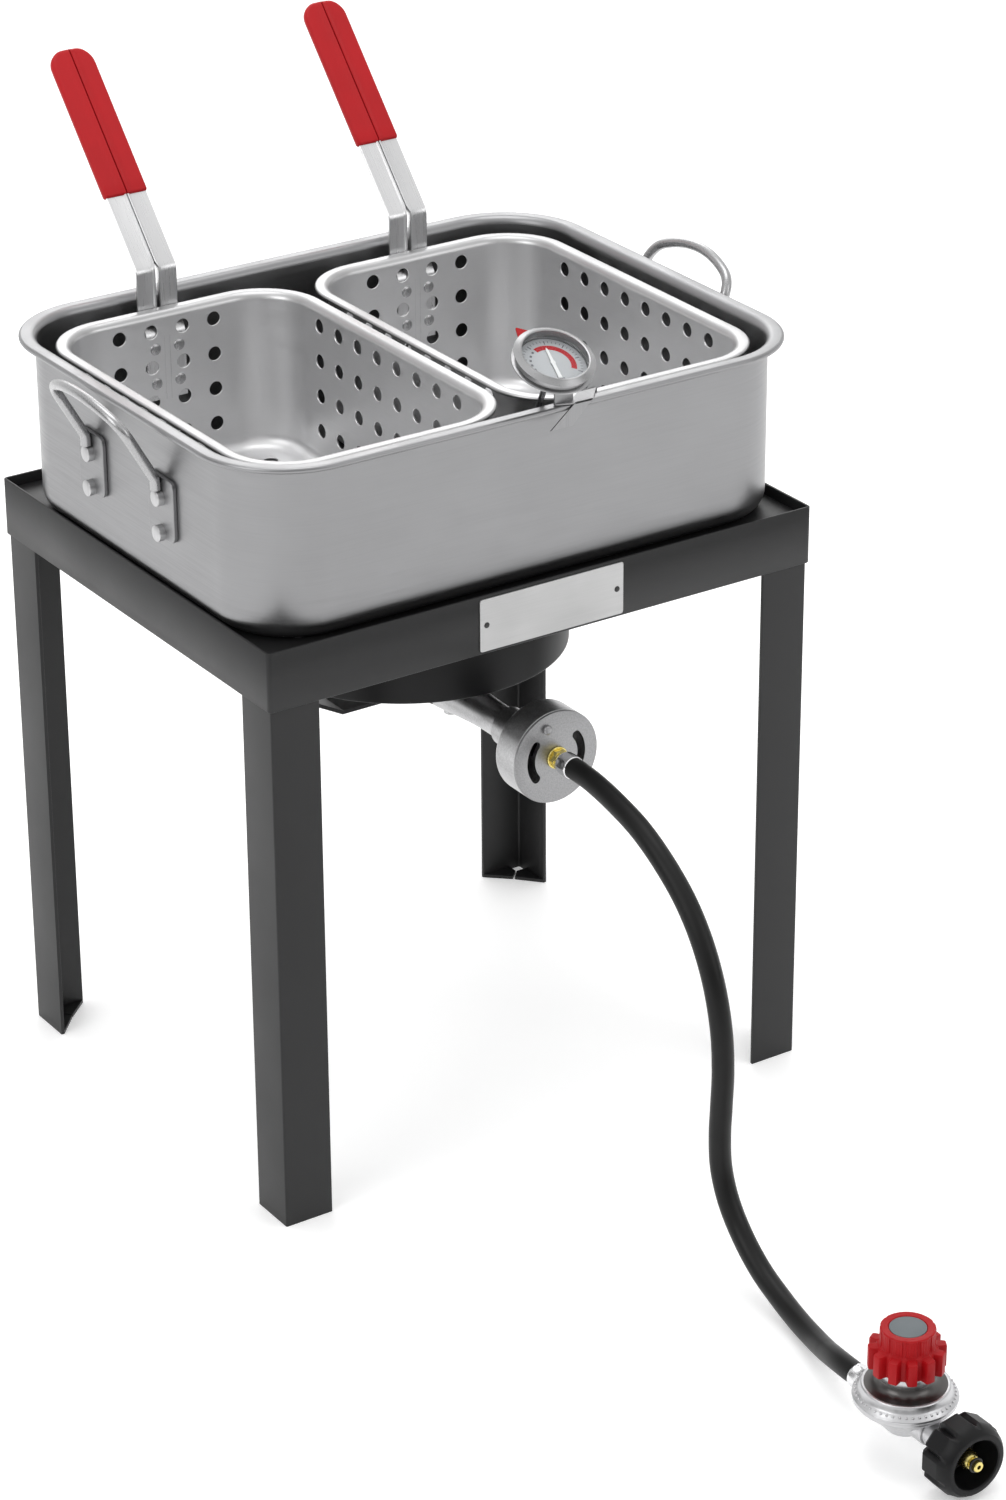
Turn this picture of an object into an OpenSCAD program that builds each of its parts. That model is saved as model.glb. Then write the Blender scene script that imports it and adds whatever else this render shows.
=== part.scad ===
// Outdoor propane fryer: a rectangular pan with two perforated baskets on a four-legged
// burner stand, with a hose and an adjustable regulator. The model stands on Z = 0, its
// front faces -Y, and the origin is under the middle of the whole object.

/* [Stand] */
// Width of the stand over the top band
stand_w = 416; // [412:1:430]
// Depth of the stand over the top band
stand_d = 345; // [340:1:360]
// Height of the stand's top edge
stand_h = 411; // [405:1:430]
// Height of the top band
band_h = 40; // [30:1:50]
// Thickness of the band's sheet
sheet_t = 2; // [1.5:0.1:2.5]
// Width of each leg flange
leg_flange = 35; // [28:1:40]
// Thickness of the leg's angle iron
leg_t = 2.5; // [2:0.1:3]
// Radius of the wind guard drum
guard_r = 110; // [100:1:115]

/* [Pan] */
// Width of the pan's body
pan_l = 410; // [404:1:410]
// Depth of the pan's body
pan_w = 321; // [318:1:326]
// Height of the pan from its bottom to its rim
pan_h = 120.5; // [118:0.5:124]
// Corner radius of the pan's body
pan_r = 53; // [45:1:60]
// Thickness of the pan's sheet
pan_t = 1.5; // [1.2:0.1:2]
// Depth that the pan sits below the stand's top edge
pan_sink = 7; // [5:0.5:9]

/* [Baskets] */
// Width of a basket's body
basket_l = 175; // [168:1:176]
// Depth of a basket's body
basket_w = 276; // [268:1:280]
// Height of a basket from its bottom to its rim
basket_h = 112.2; // [108:0.1:114]
// Distance of a basket's middle from the pan's middle
basket_x = 99; // [98:0.5:100]
// Diameter of the drain holes
hole_d = 9.8; // [8:0.1:10.5]
// Distance between drain holes along a wall
hole_pitch = 24; // [22:0.5:25]

/* [Thermometer] */
// Tilt of the dial towards the front, in degrees
dial_tilt = 25; // [22:0.5:28]
// Outer radius of the bezel
bezel_r = 24; // [22:0.5:25]
// Length of the stem behind the case
stem_l = 100; // [90:1:104]

/* [Gas line] */
// Outer diameter of the hose
hose_d = 14.4; // [12:0.1:15]

/* [Hidden] */

// Small gap between pieces that rest on or move past each other
gap = 0.2;
// Radial clearance of a running fit
run = 0.05;

// Pan
pan_edge = 13;
pan_flare = 4;
pan_lip = 10.5;
pan_bead = 2;
pan_z = stand_h - pan_sink;
rim_z = pan_z + pan_h;
bar_z = pan_z - gap;
bar_t = 3;

// Pan handles
tab_w = 32;
tab_t = 3;
tab_y = 45;
tab_z = pan_z + 40;
tab_h = 42;
rod_r = 3.5;
loop_lean = 29.5;
loop_z = pan_z + 80;
loop_leg = 33.5;
loop_corner_r = 18;
loop_corner_a = 65;
loop_top_r = (tab_y - loop_corner_r + loop_corner_r * cos(loop_corner_a)) / cos(loop_corner_a);
loop_top_z = loop_leg + loop_corner_r * sin(loop_corner_a) - loop_top_r * sin(loop_corner_a);
rivet_r = 2.5;
pan_rivet_z = [tab_z + 3.7, tab_z + 27.5];

// Baskets
basket_r = 37;
basket_t = 1.2;
basket_edge = 11;
basket_flare = 4;
basket_lip = 9;
basket_bead = 1.6;
basket_y = -2;
basket_z = pan_z + pan_t + 0.3;
basket_back = basket_y + basket_w / 2;
hole_rows = [24.2, 49.2, 74.2, 99.2];
basket_rivet_z = [basket_z + 62.2, basket_z + 86.6];
basket_rivet_x = 9;

// Basket handles: a folded strip that stands behind the rim and then leans back
strip_t = 2.2;
strip_w = 14;
strip_x = 8.2;
strip_foot_z = basket_z + 50;
strip_jog_z = basket_z + 96;
strip_y = basket_back + basket_lip + 0.5 + strip_t / 2;
bend_z = basket_z + 138;
handle_lean = 42.2;
handle_l = 165;
grip_l = 110;
grip_w = 32.6;
grip_t = 6;
grip_r = 13;

// Thermometer: its dial faces up and forwards, and its stem runs down between the baskets
dial_x = 4;
dial_y = -173.5;
dial_z = rim_z + 37.5;
case_depth = 10;
stem_r = 1.9;
clip_t = 1;
collar_d = 18;

// Middle of the stand, so that the origin is under the middle of everything but the gas line
bezel_bevel = 0.6;
front_y = dial_y - bezel_r * cos(dial_tilt) + bezel_bevel * sin(dial_tilt);
back_y = strip_y + handle_l * sin(handle_lean) + grip_t / 2 * cos(handle_lean);
frame_y = -(front_y + back_y) / 2;

// Burner, measured forwards from the middle of the stand along the gas axis
gas_z = 288;
guard_t = 1.5;
guard_z = 307;
bracket_w = 30;
bracket_z = 269.5;
bracket_t = 2.5;
bolt_r = 3;
cup_r = 32;
cup_back = 155;
cup_front = 178;
shutter_front = 180;
slot_in = 16.5;
slot_out = 22.5;
slot_half = 42;
fitting_r = 6;
hose_start = 200;

// Regulator
reg_x = -27;
reg_y = -589;
reg_z = 25.5;
disc_r = 32.2;
rim_low = 10;
rim_high = 14;
plate_high = 20.9;
knob_base = 32.5;
skirt_h = 15;
cone_h = 2.4;
cap_h = 10;
nut_r = 25.3;
nut_back = 42;
nut_front = 68;
stem_tube_r = 8;

// Points on the hose's middle line, from the burner's ferrule to the regulator's
ROUTE = [
    [0, -200, 288], [0, -222.5, 286.8], [0, -249, 282], [0, -275, 274.5], [0, -300, 262],
    [0, -323, 245.5], [0, -341, 225], [0, -354.5, 200], [0, -363, 171], [0, -365.5, 143],
    [0, -364.5, 118], [0, -363.5, 95.5], [0, -365.5, 73.5], [0, -374, 53], [0, -389, 35],
    [-1, -410, 21], [-2.5, -434, 12.5], [-5.5, -457, 9], [-10.5, -480, 10.5],
    [-17.5, -501, 16], [-22.5, -515, 21], [-25, -524, 23.5], [-26.5, -533, 25],
    [-27, -542, 25.5]
];

module placed() {
    translate([0, frame_y, 0]) children();
}

// Turns Z to the front, so that a height becomes a distance forwards of the given point
module forwards(at) {
    translate(at) rotate([90, 0, 0]) children();
}

module gas_axis() {
    placed() forwards([0, 0, gas_z]) children();
}

module inlet_axis() {
    placed() forwards([reg_x, reg_y, reg_z]) children();
}

module reg_up() {
    placed() translate([reg_x, reg_y, reg_z]) children();
}

// Thermometer's own frame: Z out of the dial's face, origin at the front of the bezel
module on_dial() {
    placed() translate([dial_x, dial_y, dial_z]) rotate([dial_tilt, 0, 0]) children();
}

module both_sides() {
    for (s = [0, 1]) mirror([s, 0, 0]) children();
}

module rounded_rect(l, w, r) {
    square([l - 2 * r, w], center = true);
    square([l, w - 2 * r], center = true);
    for (x = [-1, 1], y = [-1, 1])
        translate([x * (l / 2 - r), y * (w / 2 - r)]) circle(r, $fn = 48);
}

module tube(r_out, r_in, h) {
    difference() {
        cylinder(r = r_out, h = h, $fn = 64);
        translate([0, 0, -1]) cylinder(r = r_in, h = h + 2, $fn = 64);
    }
}

/* ---- Stand ---- */

module top_band() {
    color("#3a3a3c") placed() translate([0, 0, stand_h - band_h]) linear_extrude(band_h) difference() {
        rounded_rect(stand_w, stand_d, 3);
        rounded_rect(stand_w - 2 * sheet_t, stand_d - 2 * sheet_t, 1);
    }
}

ledge_w = 24;
ledge_t = 2.5;
ledge_corner = 12;

// Flat ledge inside the band that the pan stands on, with its inner corners filled
module pan_ledge() {
    x = stand_w / 2 - sheet_t - 0.5;
    y = stand_d / 2 - sheet_t - 0.5;
    u = x - ledge_w;
    v = y - ledge_w;
    k = ledge_corner;
    color("#3a3a3c") placed() translate([0, 0, bar_z - ledge_t]) linear_extrude(ledge_t) difference() {
        square([2 * x, 2 * y], center = true);
        polygon([
            [u, v - k], [u - k, v], [k - u, v], [-u, v - k],
            [-u, k - v], [k - u, -v], [u - k, -v], [u, k - v]
        ]);
    }
}

// One angle-iron leg in the corner on the right and at the back, with its folded foot
module leg() {
    x = stand_w / 2 - sheet_t;
    y = stand_d / 2 - sheet_t;
    translate([x, y, 0]) rotate([0, 0, 180]) {
        linear_extrude(bar_z - ledge_t) {
            square([leg_flange, leg_t]);
            square([leg_t, leg_flange]);
        }
        linear_extrude(leg_t) difference() {
            polygon([[0, 0], [leg_flange, 0], [leg_flange, leg_t], [leg_t, leg_flange], [0, leg_flange]]);
            translate([leg_t, leg_t]) square(9);
            rotate(45) translate([0, -0.6]) square([leg_flange * 1.5, 1.2]);
        }
    }
}

module leg_at(sx, sy) {
    color("#39393b") placed() mirror([sx, 0, 0]) mirror([0, sy, 0]) leg();
}

module leg_front_left() { leg_at(1, 1); }
module leg_front_right() { leg_at(0, 1); }
module leg_back_left() { leg_at(1, 0); }
module leg_back_right() { leg_at(0, 0); }

label_w = 110;
label_h = 36;
label_t = 1;
label_x = 1.5;

module label_frame() {
    placed() forwards([label_x, -stand_d / 2, stand_h - band_h / 2]) children();
}

module name_plate() {
    color("#b9babc") label_frame() difference() {
        linear_extrude(label_t) rounded_rect(label_w, label_h, 2);
        for (x = [-1, 1]) translate([x * (label_w / 2 - 5), 0, -1]) cylinder(r = 1.2, h = 3, $fn = 24);
    }
}

module name_plate_rivets() {
    color("#77787a") label_frame() for (x = [-1, 1]) translate([x * (label_w / 2 - 5), 0, 0]) {
        cylinder(r = 1.2, h = label_t, $fn = 24);
        translate([0, 0, label_t]) cylinder(r = 2, h = 0.8, $fn = 24);
    }
}

bar_w = 25;
bar_y = 72;

module support_bar(y) {
    l = stand_w - 2 * (sheet_t + 0.5 + ledge_w);
    color("#2f2f31") placed() translate([-l / 2, y - bar_w / 2, bar_z - bar_t]) cube([l, bar_w, bar_t]);
}

module support_bar_front() { support_bar(-bar_y); }
module support_bar_back() { support_bar(bar_y); }

module wind_guard() {
    color("#343436") placed() translate([0, 0, guard_z]) difference() {
        cylinder(r = guard_r, h = bar_z - bar_t - guard_z, $fn = 96);
        translate([0, 0, -1]) cylinder(r = guard_r - guard_t, h = stand_h, $fn = 96);
        for (a = [0, 180]) rotate([0, 0, a]) translate([0, 0, 8]) rotate([0, 90, 0])
            cylinder(r = rivet_r, h = guard_r + 5, $fn = 32);
    }
}

bracket_x = sqrt(pow(guard_r - guard_t, 2) - pow(bracket_w / 2, 2)) - 0.05;
bracket_flat = 60;

module burner_bracket() {
    t = bracket_t;
    x = bracket_x;
    z = guard_z + 15;
    color("#303032") placed() difference() {
        rotate([90, 0, 0]) linear_extrude(bracket_w, center = true) both_sides() polygon([
            [-1, bracket_z], [bracket_flat, bracket_z], [x, guard_z - 12], [x, z], [x - t, z],
            [x - t, guard_z - 10.6], [bracket_flat - 1, bracket_z + t], [-1, bracket_z + t]
        ]);
        cylinder(r = bolt_r + run, h = stand_h, $fn = 48);
        translate([0, 0, guard_z + 8]) rotate([0, 90, 0])
            cylinder(r = rivet_r, h = 3 * guard_r, center = true, $fn = 32);
    }
}

module bracket_rivets() {
    color("#8c8d8f") placed() both_sides() translate([bracket_x - bracket_t, 0, guard_z + 8])
        rotate([0, 90, 0]) {
            cylinder(r = rivet_r, h = guard_r - bracket_x + bracket_t, $fn = 32);
            translate([0, 0, -1.5]) cylinder(r = 4.2, h = 1.5, $fn = 32);
            translate([0, 0, guard_r - bracket_x + bracket_t]) cylinder(r = 4.2, h = 1.5, $fn = 32);
        }
}

/* ---- Burner ---- */

head_floor = 300;
head_top = 322;

module burner_head() {
    color("#4a4744") placed() difference() {
        union() {
            rotate_extrude($fn = 96) polygon([
                [0, bracket_z + bracket_t], [24, bracket_z + bracket_t], [24, 288], [52, 306],
                [52, head_top], [0, head_top]
            ]);
            forwards([0, 0, gas_z]) cylinder(r = 15.5, h = 44, $fn = 64);
        }
        translate([0, 0, head_floor]) cylinder(r = 44, h = 60, $fn = 96);
        forwards([0, 0, gas_z]) translate([0, 0, 8]) cylinder(r = 9, h = 50, $fn = 64);
        translate([0, -18, gas_z]) cylinder(r = 7, h = 40, $fn = 48);
        cylinder(r = bolt_r + run, h = stand_h, $fn = 48);
    }
}

module burner_cap() {
    color("#4a4744") placed() translate([0, 0, head_top]) difference() {
        rotate_extrude($fn = 96) polygon([[0, 0], [52, 0], [52, 4], [46, 8], [0, 8]]);
        translate([0, 0, -1]) cylinder(r = bolt_r + run, h = 20, $fn = 48);
        for (i = [0:23]) rotate([0, 0, i * 15]) translate([36, 0, -1]) cylinder(r = 1.6, h = 20, $fn = 24);
        for (i = [0:11]) rotate([0, 0, i * 30]) translate([24, 0, -1]) cylinder(r = 1.6, h = 20, $fn = 24);
    }
}

module burner_bolt() {
    color("#9a9b9c") placed() {
        translate([0, 0, 258]) cylinder(r = bolt_r, h = head_top + 8 - 258, $fn = 48);
        translate([0, 0, head_top + 8]) cylinder(r = 5.5, h = 4, $fn = 6);
    }
}

module burner_nut() {
    color("#9a9b9c") placed() translate([0, 0, bracket_z - 5]) difference() {
        cylinder(r = 5.8, h = 5, $fn = 6);
        translate([0, 0, -1]) cylinder(r = bolt_r, h = 7, $fn = 48);
    }
}

// Cast mixing tube: wide at the burner, narrow in the middle, with a collar at the cup
module venturi_tube() {
    color("#a9aaab") gas_axis() difference() {
        union() {
            rotate_extrude($fn = 64) polygon([
                [0, 44], [12, 44], [12, 47], [15, 52], [11, 100], [11, 122], [13.5, 124],
                [13.5, cup_back], [0, cup_back]
            ]);
            translate([0, -14, 56]) rotate([90, 0, 0]) cylinder(r = 5.5, h = 5, center = true, $fn = 32);
        }
        translate([0, 0, 43]) cylinder(r = 9, h = 120, $fn = 64);
    }
}

module kidney(h) {
    w = slot_out - slot_in;
    m = (slot_out + slot_in) / 2;
    for (a = [0, 180]) rotate([0, 0, a]) {
        rotate([0, 0, -slot_half]) rotate_extrude(angle = 2 * slot_half, $fn = 96)
            translate([slot_in, 0]) square([w, h]);
        for (b = [-slot_half, slot_half]) rotate([0, 0, b]) translate([m, 0, 0])
            cylinder(r = w / 2, h = h, $fn = 32);
    }
}

module mixer_housing() {
    wall = 1.5;
    color("#b2b3b4") gas_axis() difference() {
        rotate_extrude($fn = 96) polygon([
            [9, cup_back], [cup_r - 4, cup_back], [cup_r - 1.2, cup_back + 1.2],
            [cup_r, cup_back + 4], [cup_r, cup_front], [fitting_r, cup_front],
            [fitting_r, cup_front - wall], [cup_r - wall, cup_front - wall],
            [cup_r - wall, cup_back + 4], [cup_r - 4, cup_back + wall], [9, cup_back + wall]
        ]);
        translate([0, 0, cup_front - wall - 1]) kidney(wall + 2);
    }
}

module air_shutter() {
    color("#bcbdbe") gas_axis() translate([0, 0, cup_front + gap]) difference() {
        cylinder(r = cup_r, h = shutter_front - cup_front - gap, $fn = 96);
        translate([0, 0, -1]) cylinder(r = fitting_r + run, h = 5, $fn = 64);
        translate([0, 0, -1]) kidney(5);
        translate([-8, 22, -1]) cylinder(r = 1.5, h = 5, $fn = 32);
    }
}

module shutter_knob() {
    h = shutter_front - cup_front - gap;
    color("#c4c5c6") gas_axis() translate([-8, 22, cup_front + gap]) {
        cylinder(r = 1.5, h = h, $fn = 32);
        translate([0, 0, h]) cylinder(r = 3.2, h = 2.5, $fn = 32);
        translate([0, 0, h + 2.5]) cylinder(r1 = 3.2, r2 = 1.8, h = 1, $fn = 32);
    }
}

module orifice_fitting() {
    color("#c9a227") gas_axis() difference() {
        union() {
            translate([0, 0, 166]) cylinder(r = fitting_r, h = 22, $fn = 64);
            translate([0, 0, shutter_front + gap]) cylinder(r = 7.6, h = 1.6, $fn = 64);
            translate([0, 0, 182]) cylinder(r = 6.9, h = 4, $fn = 6);
        }
        translate([0, 0, 160]) cylinder(r = 0.6, h = 20, $fn = 24);
        translate([0, 0, 170]) cylinder(r = 3, h = 20, $fn = 48);
    }
}

module orifice_nut() {
    color("#c9a227") gas_axis() translate([0, 0, cup_front - 1.5 - 5]) difference() {
        cylinder(r = 9.5, h = 5, $fn = 6);
        translate([0, 0, -1]) cylinder(r = fitting_r, h = 8, $fn = 64);
    }
}

/* ---- Gas line ---- */

// Crimped steel ferrule with a plain neck towards the fitting
module ferrule(l) {
    rotate_extrude($fn = 64) polygon([
        [3, 0], [6.4, 0], [6.4, 1.5], [7.9, 2.5], [7.9, l - 1.2], [7.4, l], [3, l]
    ]);
}

module ferrule_burner_end() {
    color("#c8c9ca") gas_axis() translate([0, 0, 188]) ferrule(hose_start - 188);
}

function unit(v) = v / norm(v);
function heading(i) = (i == 0 || i == len(ROUTE) - 1) ? [0, -1, 0] : unit(ROUTE[i + 1] - ROUTE[i - 1]);
function ring_point(i, a) =
    let (u = unit(cross(heading(i), [1, 0, 0])), v = cross(u, heading(i)))
    ROUTE[i] + hose_d / 2 * (cos(a) * u + sin(a) * v);

hose_sides = 12;

module hose() {
    n = hose_sides;
    last = len(ROUTE) - 1;
    points = [for (i = [0:last]) for (k = [0:n - 1]) ring_point(i, 360 * k / n)];
    sides = [for (i = [0:last - 1]) for (k = [0:n - 1]) let (j = (k + 1) % n) each [
        [i * n + k, i * n + j, (i + 1) * n + j],
        [i * n + k, (i + 1) * n + j, (i + 1) * n + k]
    ]];
    start = [[for (k = [0:n - 1]) n - 1 - k]];
    finish = [[for (k = [0:n - 1]) last * n + k]];
    color("#1c1c1d") placed() polyhedron(points, concat(start, sides, finish));
}

module ferrule_regulator_end() {
    color("#c8c9ca") placed() translate([reg_x, reg_y, reg_z]) rotate([-90, 0, 0])
        translate([0, 0, 33]) ferrule(14);
}

module regulator_outlet() {
    color("#8f9092") placed() translate([reg_x, reg_y, reg_z]) rotate([-90, 0, 0]) difference() {
        union() {
            translate([0, 0, 24]) cylinder(r = 6, h = 9, $fn = 64);
            translate([0, 0, 27]) cylinder(r = 7.6, h = 4.5, $fn = 6);
        }
        translate([0, 0, 20]) cylinder(r = 3, h = 20, $fn = 48);
    }
}

module regulator_body() {
    color("#c2c3c5") reg_up() difference() {
        union() {
            rotate_extrude($fn = 96) polygon([
                [0, -12], [11, -12], [17, -4], [27, 6], [disc_r - 1, rim_low - 1.5],
                [disc_r - 1, rim_low + 1], [0, rim_low + 1]
            ]);
            rotate([-90, 0, 0]) cylinder(r = 8.6, h = 24, $fn = 64);
            rotate([90, 0, 0]) cylinder(r = 9.5, h = 26, $fn = 64);
        }
        translate([0, 0, 4]) cylinder(r = 20, h = 20, $fn = 96);
        cylinder(r = 5, h = 20, $fn = 48);
        rotate([90, 0, 0]) cylinder(r = 3, h = 60, center = true, $fn = 48);
        rotate([90, 0, 0]) translate([0, 0, 26]) cylinder(r = 8.2, h = 20, $fn = 64);
        rotate([-90, 0, 0]) translate([0, 0, 24]) cylinder(r = 8.2, h = 20, $fn = 64);
    }
}

module regulator_diaphragm() {
    color("#222222") reg_up() translate([0, 0, rim_low + 1]) cylinder(r = disc_r - 2, h = 1, $fn = 96);
}

module regulator_bonnet() {
    z = rim_low + 2;
    color("#c2c3c5") reg_up() difference() {
        rotate_extrude($fn = 96) polygon([
            [8, z], [disc_r - 1, z], [disc_r - 1, rim_low], [disc_r, rim_low], [disc_r, rim_high - 0.8],
            [disc_r - 0.8, rim_high], [28.5, rim_high + 2], [27.3, plate_high - 0.8],
            [26.5, plate_high], [21, plate_high], [17.5, plate_high + 2.5], [16, plate_high + 6],
            [16, knob_base + 4], [8, knob_base + 4]
        ]);
        translate([0, 0, z - 1]) cylinder(r = 12, h = knob_base - z + 1, $fn = 64);
        cylinder(r = 5 + run, h = 60, $fn = 64);
    }
}

spring_r = 9.5;
spring_low = rim_low + 2;
spring_high = knob_base - 3;

// Control spring between the diaphragm and the screw's foot, as a stack of closed turns
module regulator_spring() {
    turns = 5;
    wire = 1.1;
    rise = (spring_high - spring_low - 2 * wire) / (turns - 1);
    color("#8d8e90") reg_up() {
        for (i = [0:turns - 1]) translate([0, 0, spring_low + wire + i * rise])
            rotate_extrude($fn = 48) translate([spring_r, 0]) circle(wire, $fn = 16);
        for (i = [0:turns - 2]) rotate([0, 0, i * 180]) translate([spring_r, 0, spring_low + wire + i * rise])
            cylinder(r = 0.8, h = rise, $fn = 16);
    }
}

screw_top = knob_base + skirt_h + 4;

module adjusting_screw() {
    color("#b9babb") reg_up() {
        translate([0, 0, spring_high]) cylinder(r = 11, h = 1.5, $fn = 64);
        translate([0, 0, spring_high + 1.5]) cylinder(r = 5, h = screw_top - spring_high - 1.5, $fn = 64);
    }
}

knob_r = 23.5;
cap_r = 16.8;
lobes = 12;
insert_r = 12;

module regulator_knob() {
    top = knob_base + skirt_h + cone_h + cap_h;
    color("#d0202c") reg_up() difference() {
        rotate_extrude($fn = 96) polygon([
            [0, knob_base], [knob_r - 0.5, knob_base], [knob_r, knob_base + 0.5],
            [knob_r, knob_base + skirt_h - 1], [knob_r - 1, knob_base + skirt_h],
            [cap_r, knob_base + skirt_h + cone_h], [cap_r, top - 0.8], [cap_r - 0.8, top], [0, top]
        ]);
        for (i = [0:lobes - 1]) rotate([0, 0, (i + 0.5) * 360 / lobes]) translate([knob_r + 1.2, 0, 0])
            cylinder(r = 3.4, h = knob_base + skirt_h + cone_h, $fn = 32);
        translate([0, 0, knob_base - 1]) cylinder(r = 17.5, h = skirt_h - 3, $fn = 64);
        cylinder(r = 5 + run, h = screw_top, $fn = 64);
        translate([0, 0, top - 1]) cylinder(r = insert_r, h = 2, $fn = 64);
    }
}

module knob_insert() {
    top = knob_base + skirt_h + cone_h + cap_h;
    color("#66696c") reg_up() translate([0, 0, top - 1]) cylinder(r = insert_r, h = 0.8, $fn = 64);
}

module inlet_stem() {
    color("#b7b8ba") inlet_axis() difference() {
        union() {
            translate([0, 0, 26]) cylinder(r = stem_tube_r, h = 21, $fn = 64);
            translate([0, 0, nut_back + 3 + gap]) cylinder(r = 13, h = 2, $fn = 64);
        }
        translate([0, 0, 20]) cylinder(r = 3, h = 40, $fn = 48);
    }
}

module inlet_nipple() {
    color("#c9a84a") inlet_axis() difference() {
        rotate_extrude($fn = 64) polygon([
            [0, 47.2], [6, 47.2], [6, 62], [4.5, 64], [3.4, 64], [3.4, 70], [0, 70]
        ]);
        translate([0, 0, 40]) cylinder(r = 1.4, h = 40, $fn = 32);
    }
}

module inlet_seal() {
    color("#161616") inlet_axis() translate([0, 0, 67]) rotate_extrude($fn = 48)
        translate([4.2, 0]) circle(0.8, $fn = 24);
}

flutes = 9;

module tank_nut() {
    color("#1b1b1c") inlet_axis() difference() {
        rotate_extrude($fn = 96) polygon([
            [stem_tube_r + run, nut_back], [21, nut_back], [nut_r, nut_back + 4],
            [nut_r, nut_front - 8], [20.5, nut_front], [16.5, nut_front], [16.5, nut_back + 3],
            [stem_tube_r + run, nut_back + 3]
        ]);
        for (i = [0:flutes - 1]) rotate([0, 0, i * 360 / flutes]) translate([nut_r + 5, 0, nut_back - 1])
            cylinder(r = 7, h = nut_front - nut_back - 6, $fn = 32);
    }
}

/* ---- Pan and baskets ---- */

// Wall section of a pressed tray: X outwards from the corner's centre, Y up from the bottom
module tray_section(r, h, edge, t, flare, lip, bead) {
    square([r - edge, t]);
    translate([r - edge, edge]) intersection() {
        difference() {
            circle(edge, $fn = 64);
            circle(edge - t, $fn = 64);
        }
        translate([0, -edge]) square(edge);
    }
    translate([r - t, edge]) square([t, h - edge - flare - t]);
    translate([r + flare, h - flare - t]) intersection() {
        difference() {
            circle(flare + t, $fn = 48);
            circle(flare, $fn = 48);
        }
        translate([-flare - t, 0]) square(flare + t);
    }
    translate([r + flare, h - t]) square([lip - flare - bead, t]);
    translate([r + lip - bead, h - bead]) circle(bead, $fn = 32);
}

module tray(l, w, r, h, edge, t, flare, lip, bead) {
    x = l / 2 - r;
    y = w / 2 - r;
    translate([-x, -y, 0]) cube([2 * x, 2 * y, t]);
    for (s = [0, 1]) {
        mirror([0, s, 0]) translate([-x, y, 0]) rotate([90, 0, 90]) linear_extrude(2 * x)
            tray_section(r, h, edge, t, flare, lip, bead);
        mirror([s, 0, 0]) translate([x, y, 0]) rotate([90, 0, 0]) linear_extrude(2 * y)
            tray_section(r, h, edge, t, flare, lip, bead);
        for (q = [0, 1]) mirror([s, 0, 0]) mirror([0, q, 0]) translate([x, y, 0])
            rotate_extrude(angle = 90, $fn = 96) tray_section(r, h, edge, t, flare, lip, bead);
    }
}

// Holes along X at the four tab rivets of one side, through both side walls
module pan_rivet_holes() {
    for (y = [-tab_y, tab_y], z = pan_rivet_z) translate([0, y, z]) rotate([0, 90, 0])
        cylinder(r = rivet_r + run, h = stand_w + 20, center = true, $fn = 32);
}

module pan() {
    color("#b5b6b8") placed() difference() {
        translate([0, 0, pan_z])
            tray(pan_l, pan_w, pan_r, pan_h, pan_edge, pan_t, pan_flare, pan_lip, pan_bead);
        pan_rivet_holes();
    }
}

// Half of a loop in the plane of Y and Z, from a tab to the end of its corner
module loop_half() {
    translate([0, tab_y, 0]) cylinder(r = rod_r, h = loop_leg, $fn = 32);
    rotate([90, 0, 90]) translate([tab_y - loop_corner_r, loop_leg, 0])
        rotate_extrude(angle = loop_corner_a, $fn = 64) translate([loop_corner_r, 0]) circle(rod_r, $fn = 32);
}

module pan_handle() {
    difference() {
        for (s = [0, 1]) mirror([0, s, 0]) translate([pan_l / 2, tab_y, tab_z + tab_h / 2])
            rotate([90, 0, 90]) linear_extrude(tab_t) rounded_rect(tab_w, tab_h, 6);
        pan_rivet_holes();
    }
    for (s = [0, 1]) mirror([0, s, 0]) translate([pan_l / 2 + 6, tab_y, loop_z]) {
        translate([0, 0, -6.5]) cylinder(r = rod_r, h = 6.5, $fn = 32);
        sphere(rod_r, $fn = 32);
    }
    translate([pan_l / 2 + 6, 0, loop_z]) rotate([0, loop_lean, 0]) {
        loop_half();
        mirror([0, 1, 0]) loop_half();
        rotate([90, 0, 90]) translate([0, loop_top_z, 0]) rotate([0, 0, loop_corner_a])
            rotate_extrude(angle = 180 - 2 * loop_corner_a, $fn = 96) translate([loop_top_r, 0])
                circle(rod_r, $fn = 32);
    }
}

module pan_handle_left() {
    color("#c4c5c7") placed() mirror([1, 0, 0]) pan_handle();
}

module pan_handle_right() {
    color("#c4c5c7") placed() pan_handle();
}

// Rivet along Z from its inner head; grip is the thickness it holds
module rivet(grip, inner_h, outer_h, head_r) {
    translate([0, 0, -inner_h]) cylinder(r = head_r, h = inner_h, $fn = 32);
    cylinder(r = rivet_r, h = grip, $fn = 32);
    translate([0, 0, grip]) cylinder(r = head_r, h = outer_h * 0.6, $fn = 32);
    translate([0, 0, grip + outer_h * 0.6]) cylinder(r1 = head_r, r2 = head_r * 0.6, h = outer_h * 0.4, $fn = 32);
}

module pan_rivets() {
    color("#c4c5c7") placed() both_sides() for (y = [-tab_y, tab_y], z = pan_rivet_z)
        translate([pan_l / 2 - pan_t, y, z]) rotate([0, 90, 0]) rivet(pan_t + tab_t, 1.2, 5, 5.4);
}

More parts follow.
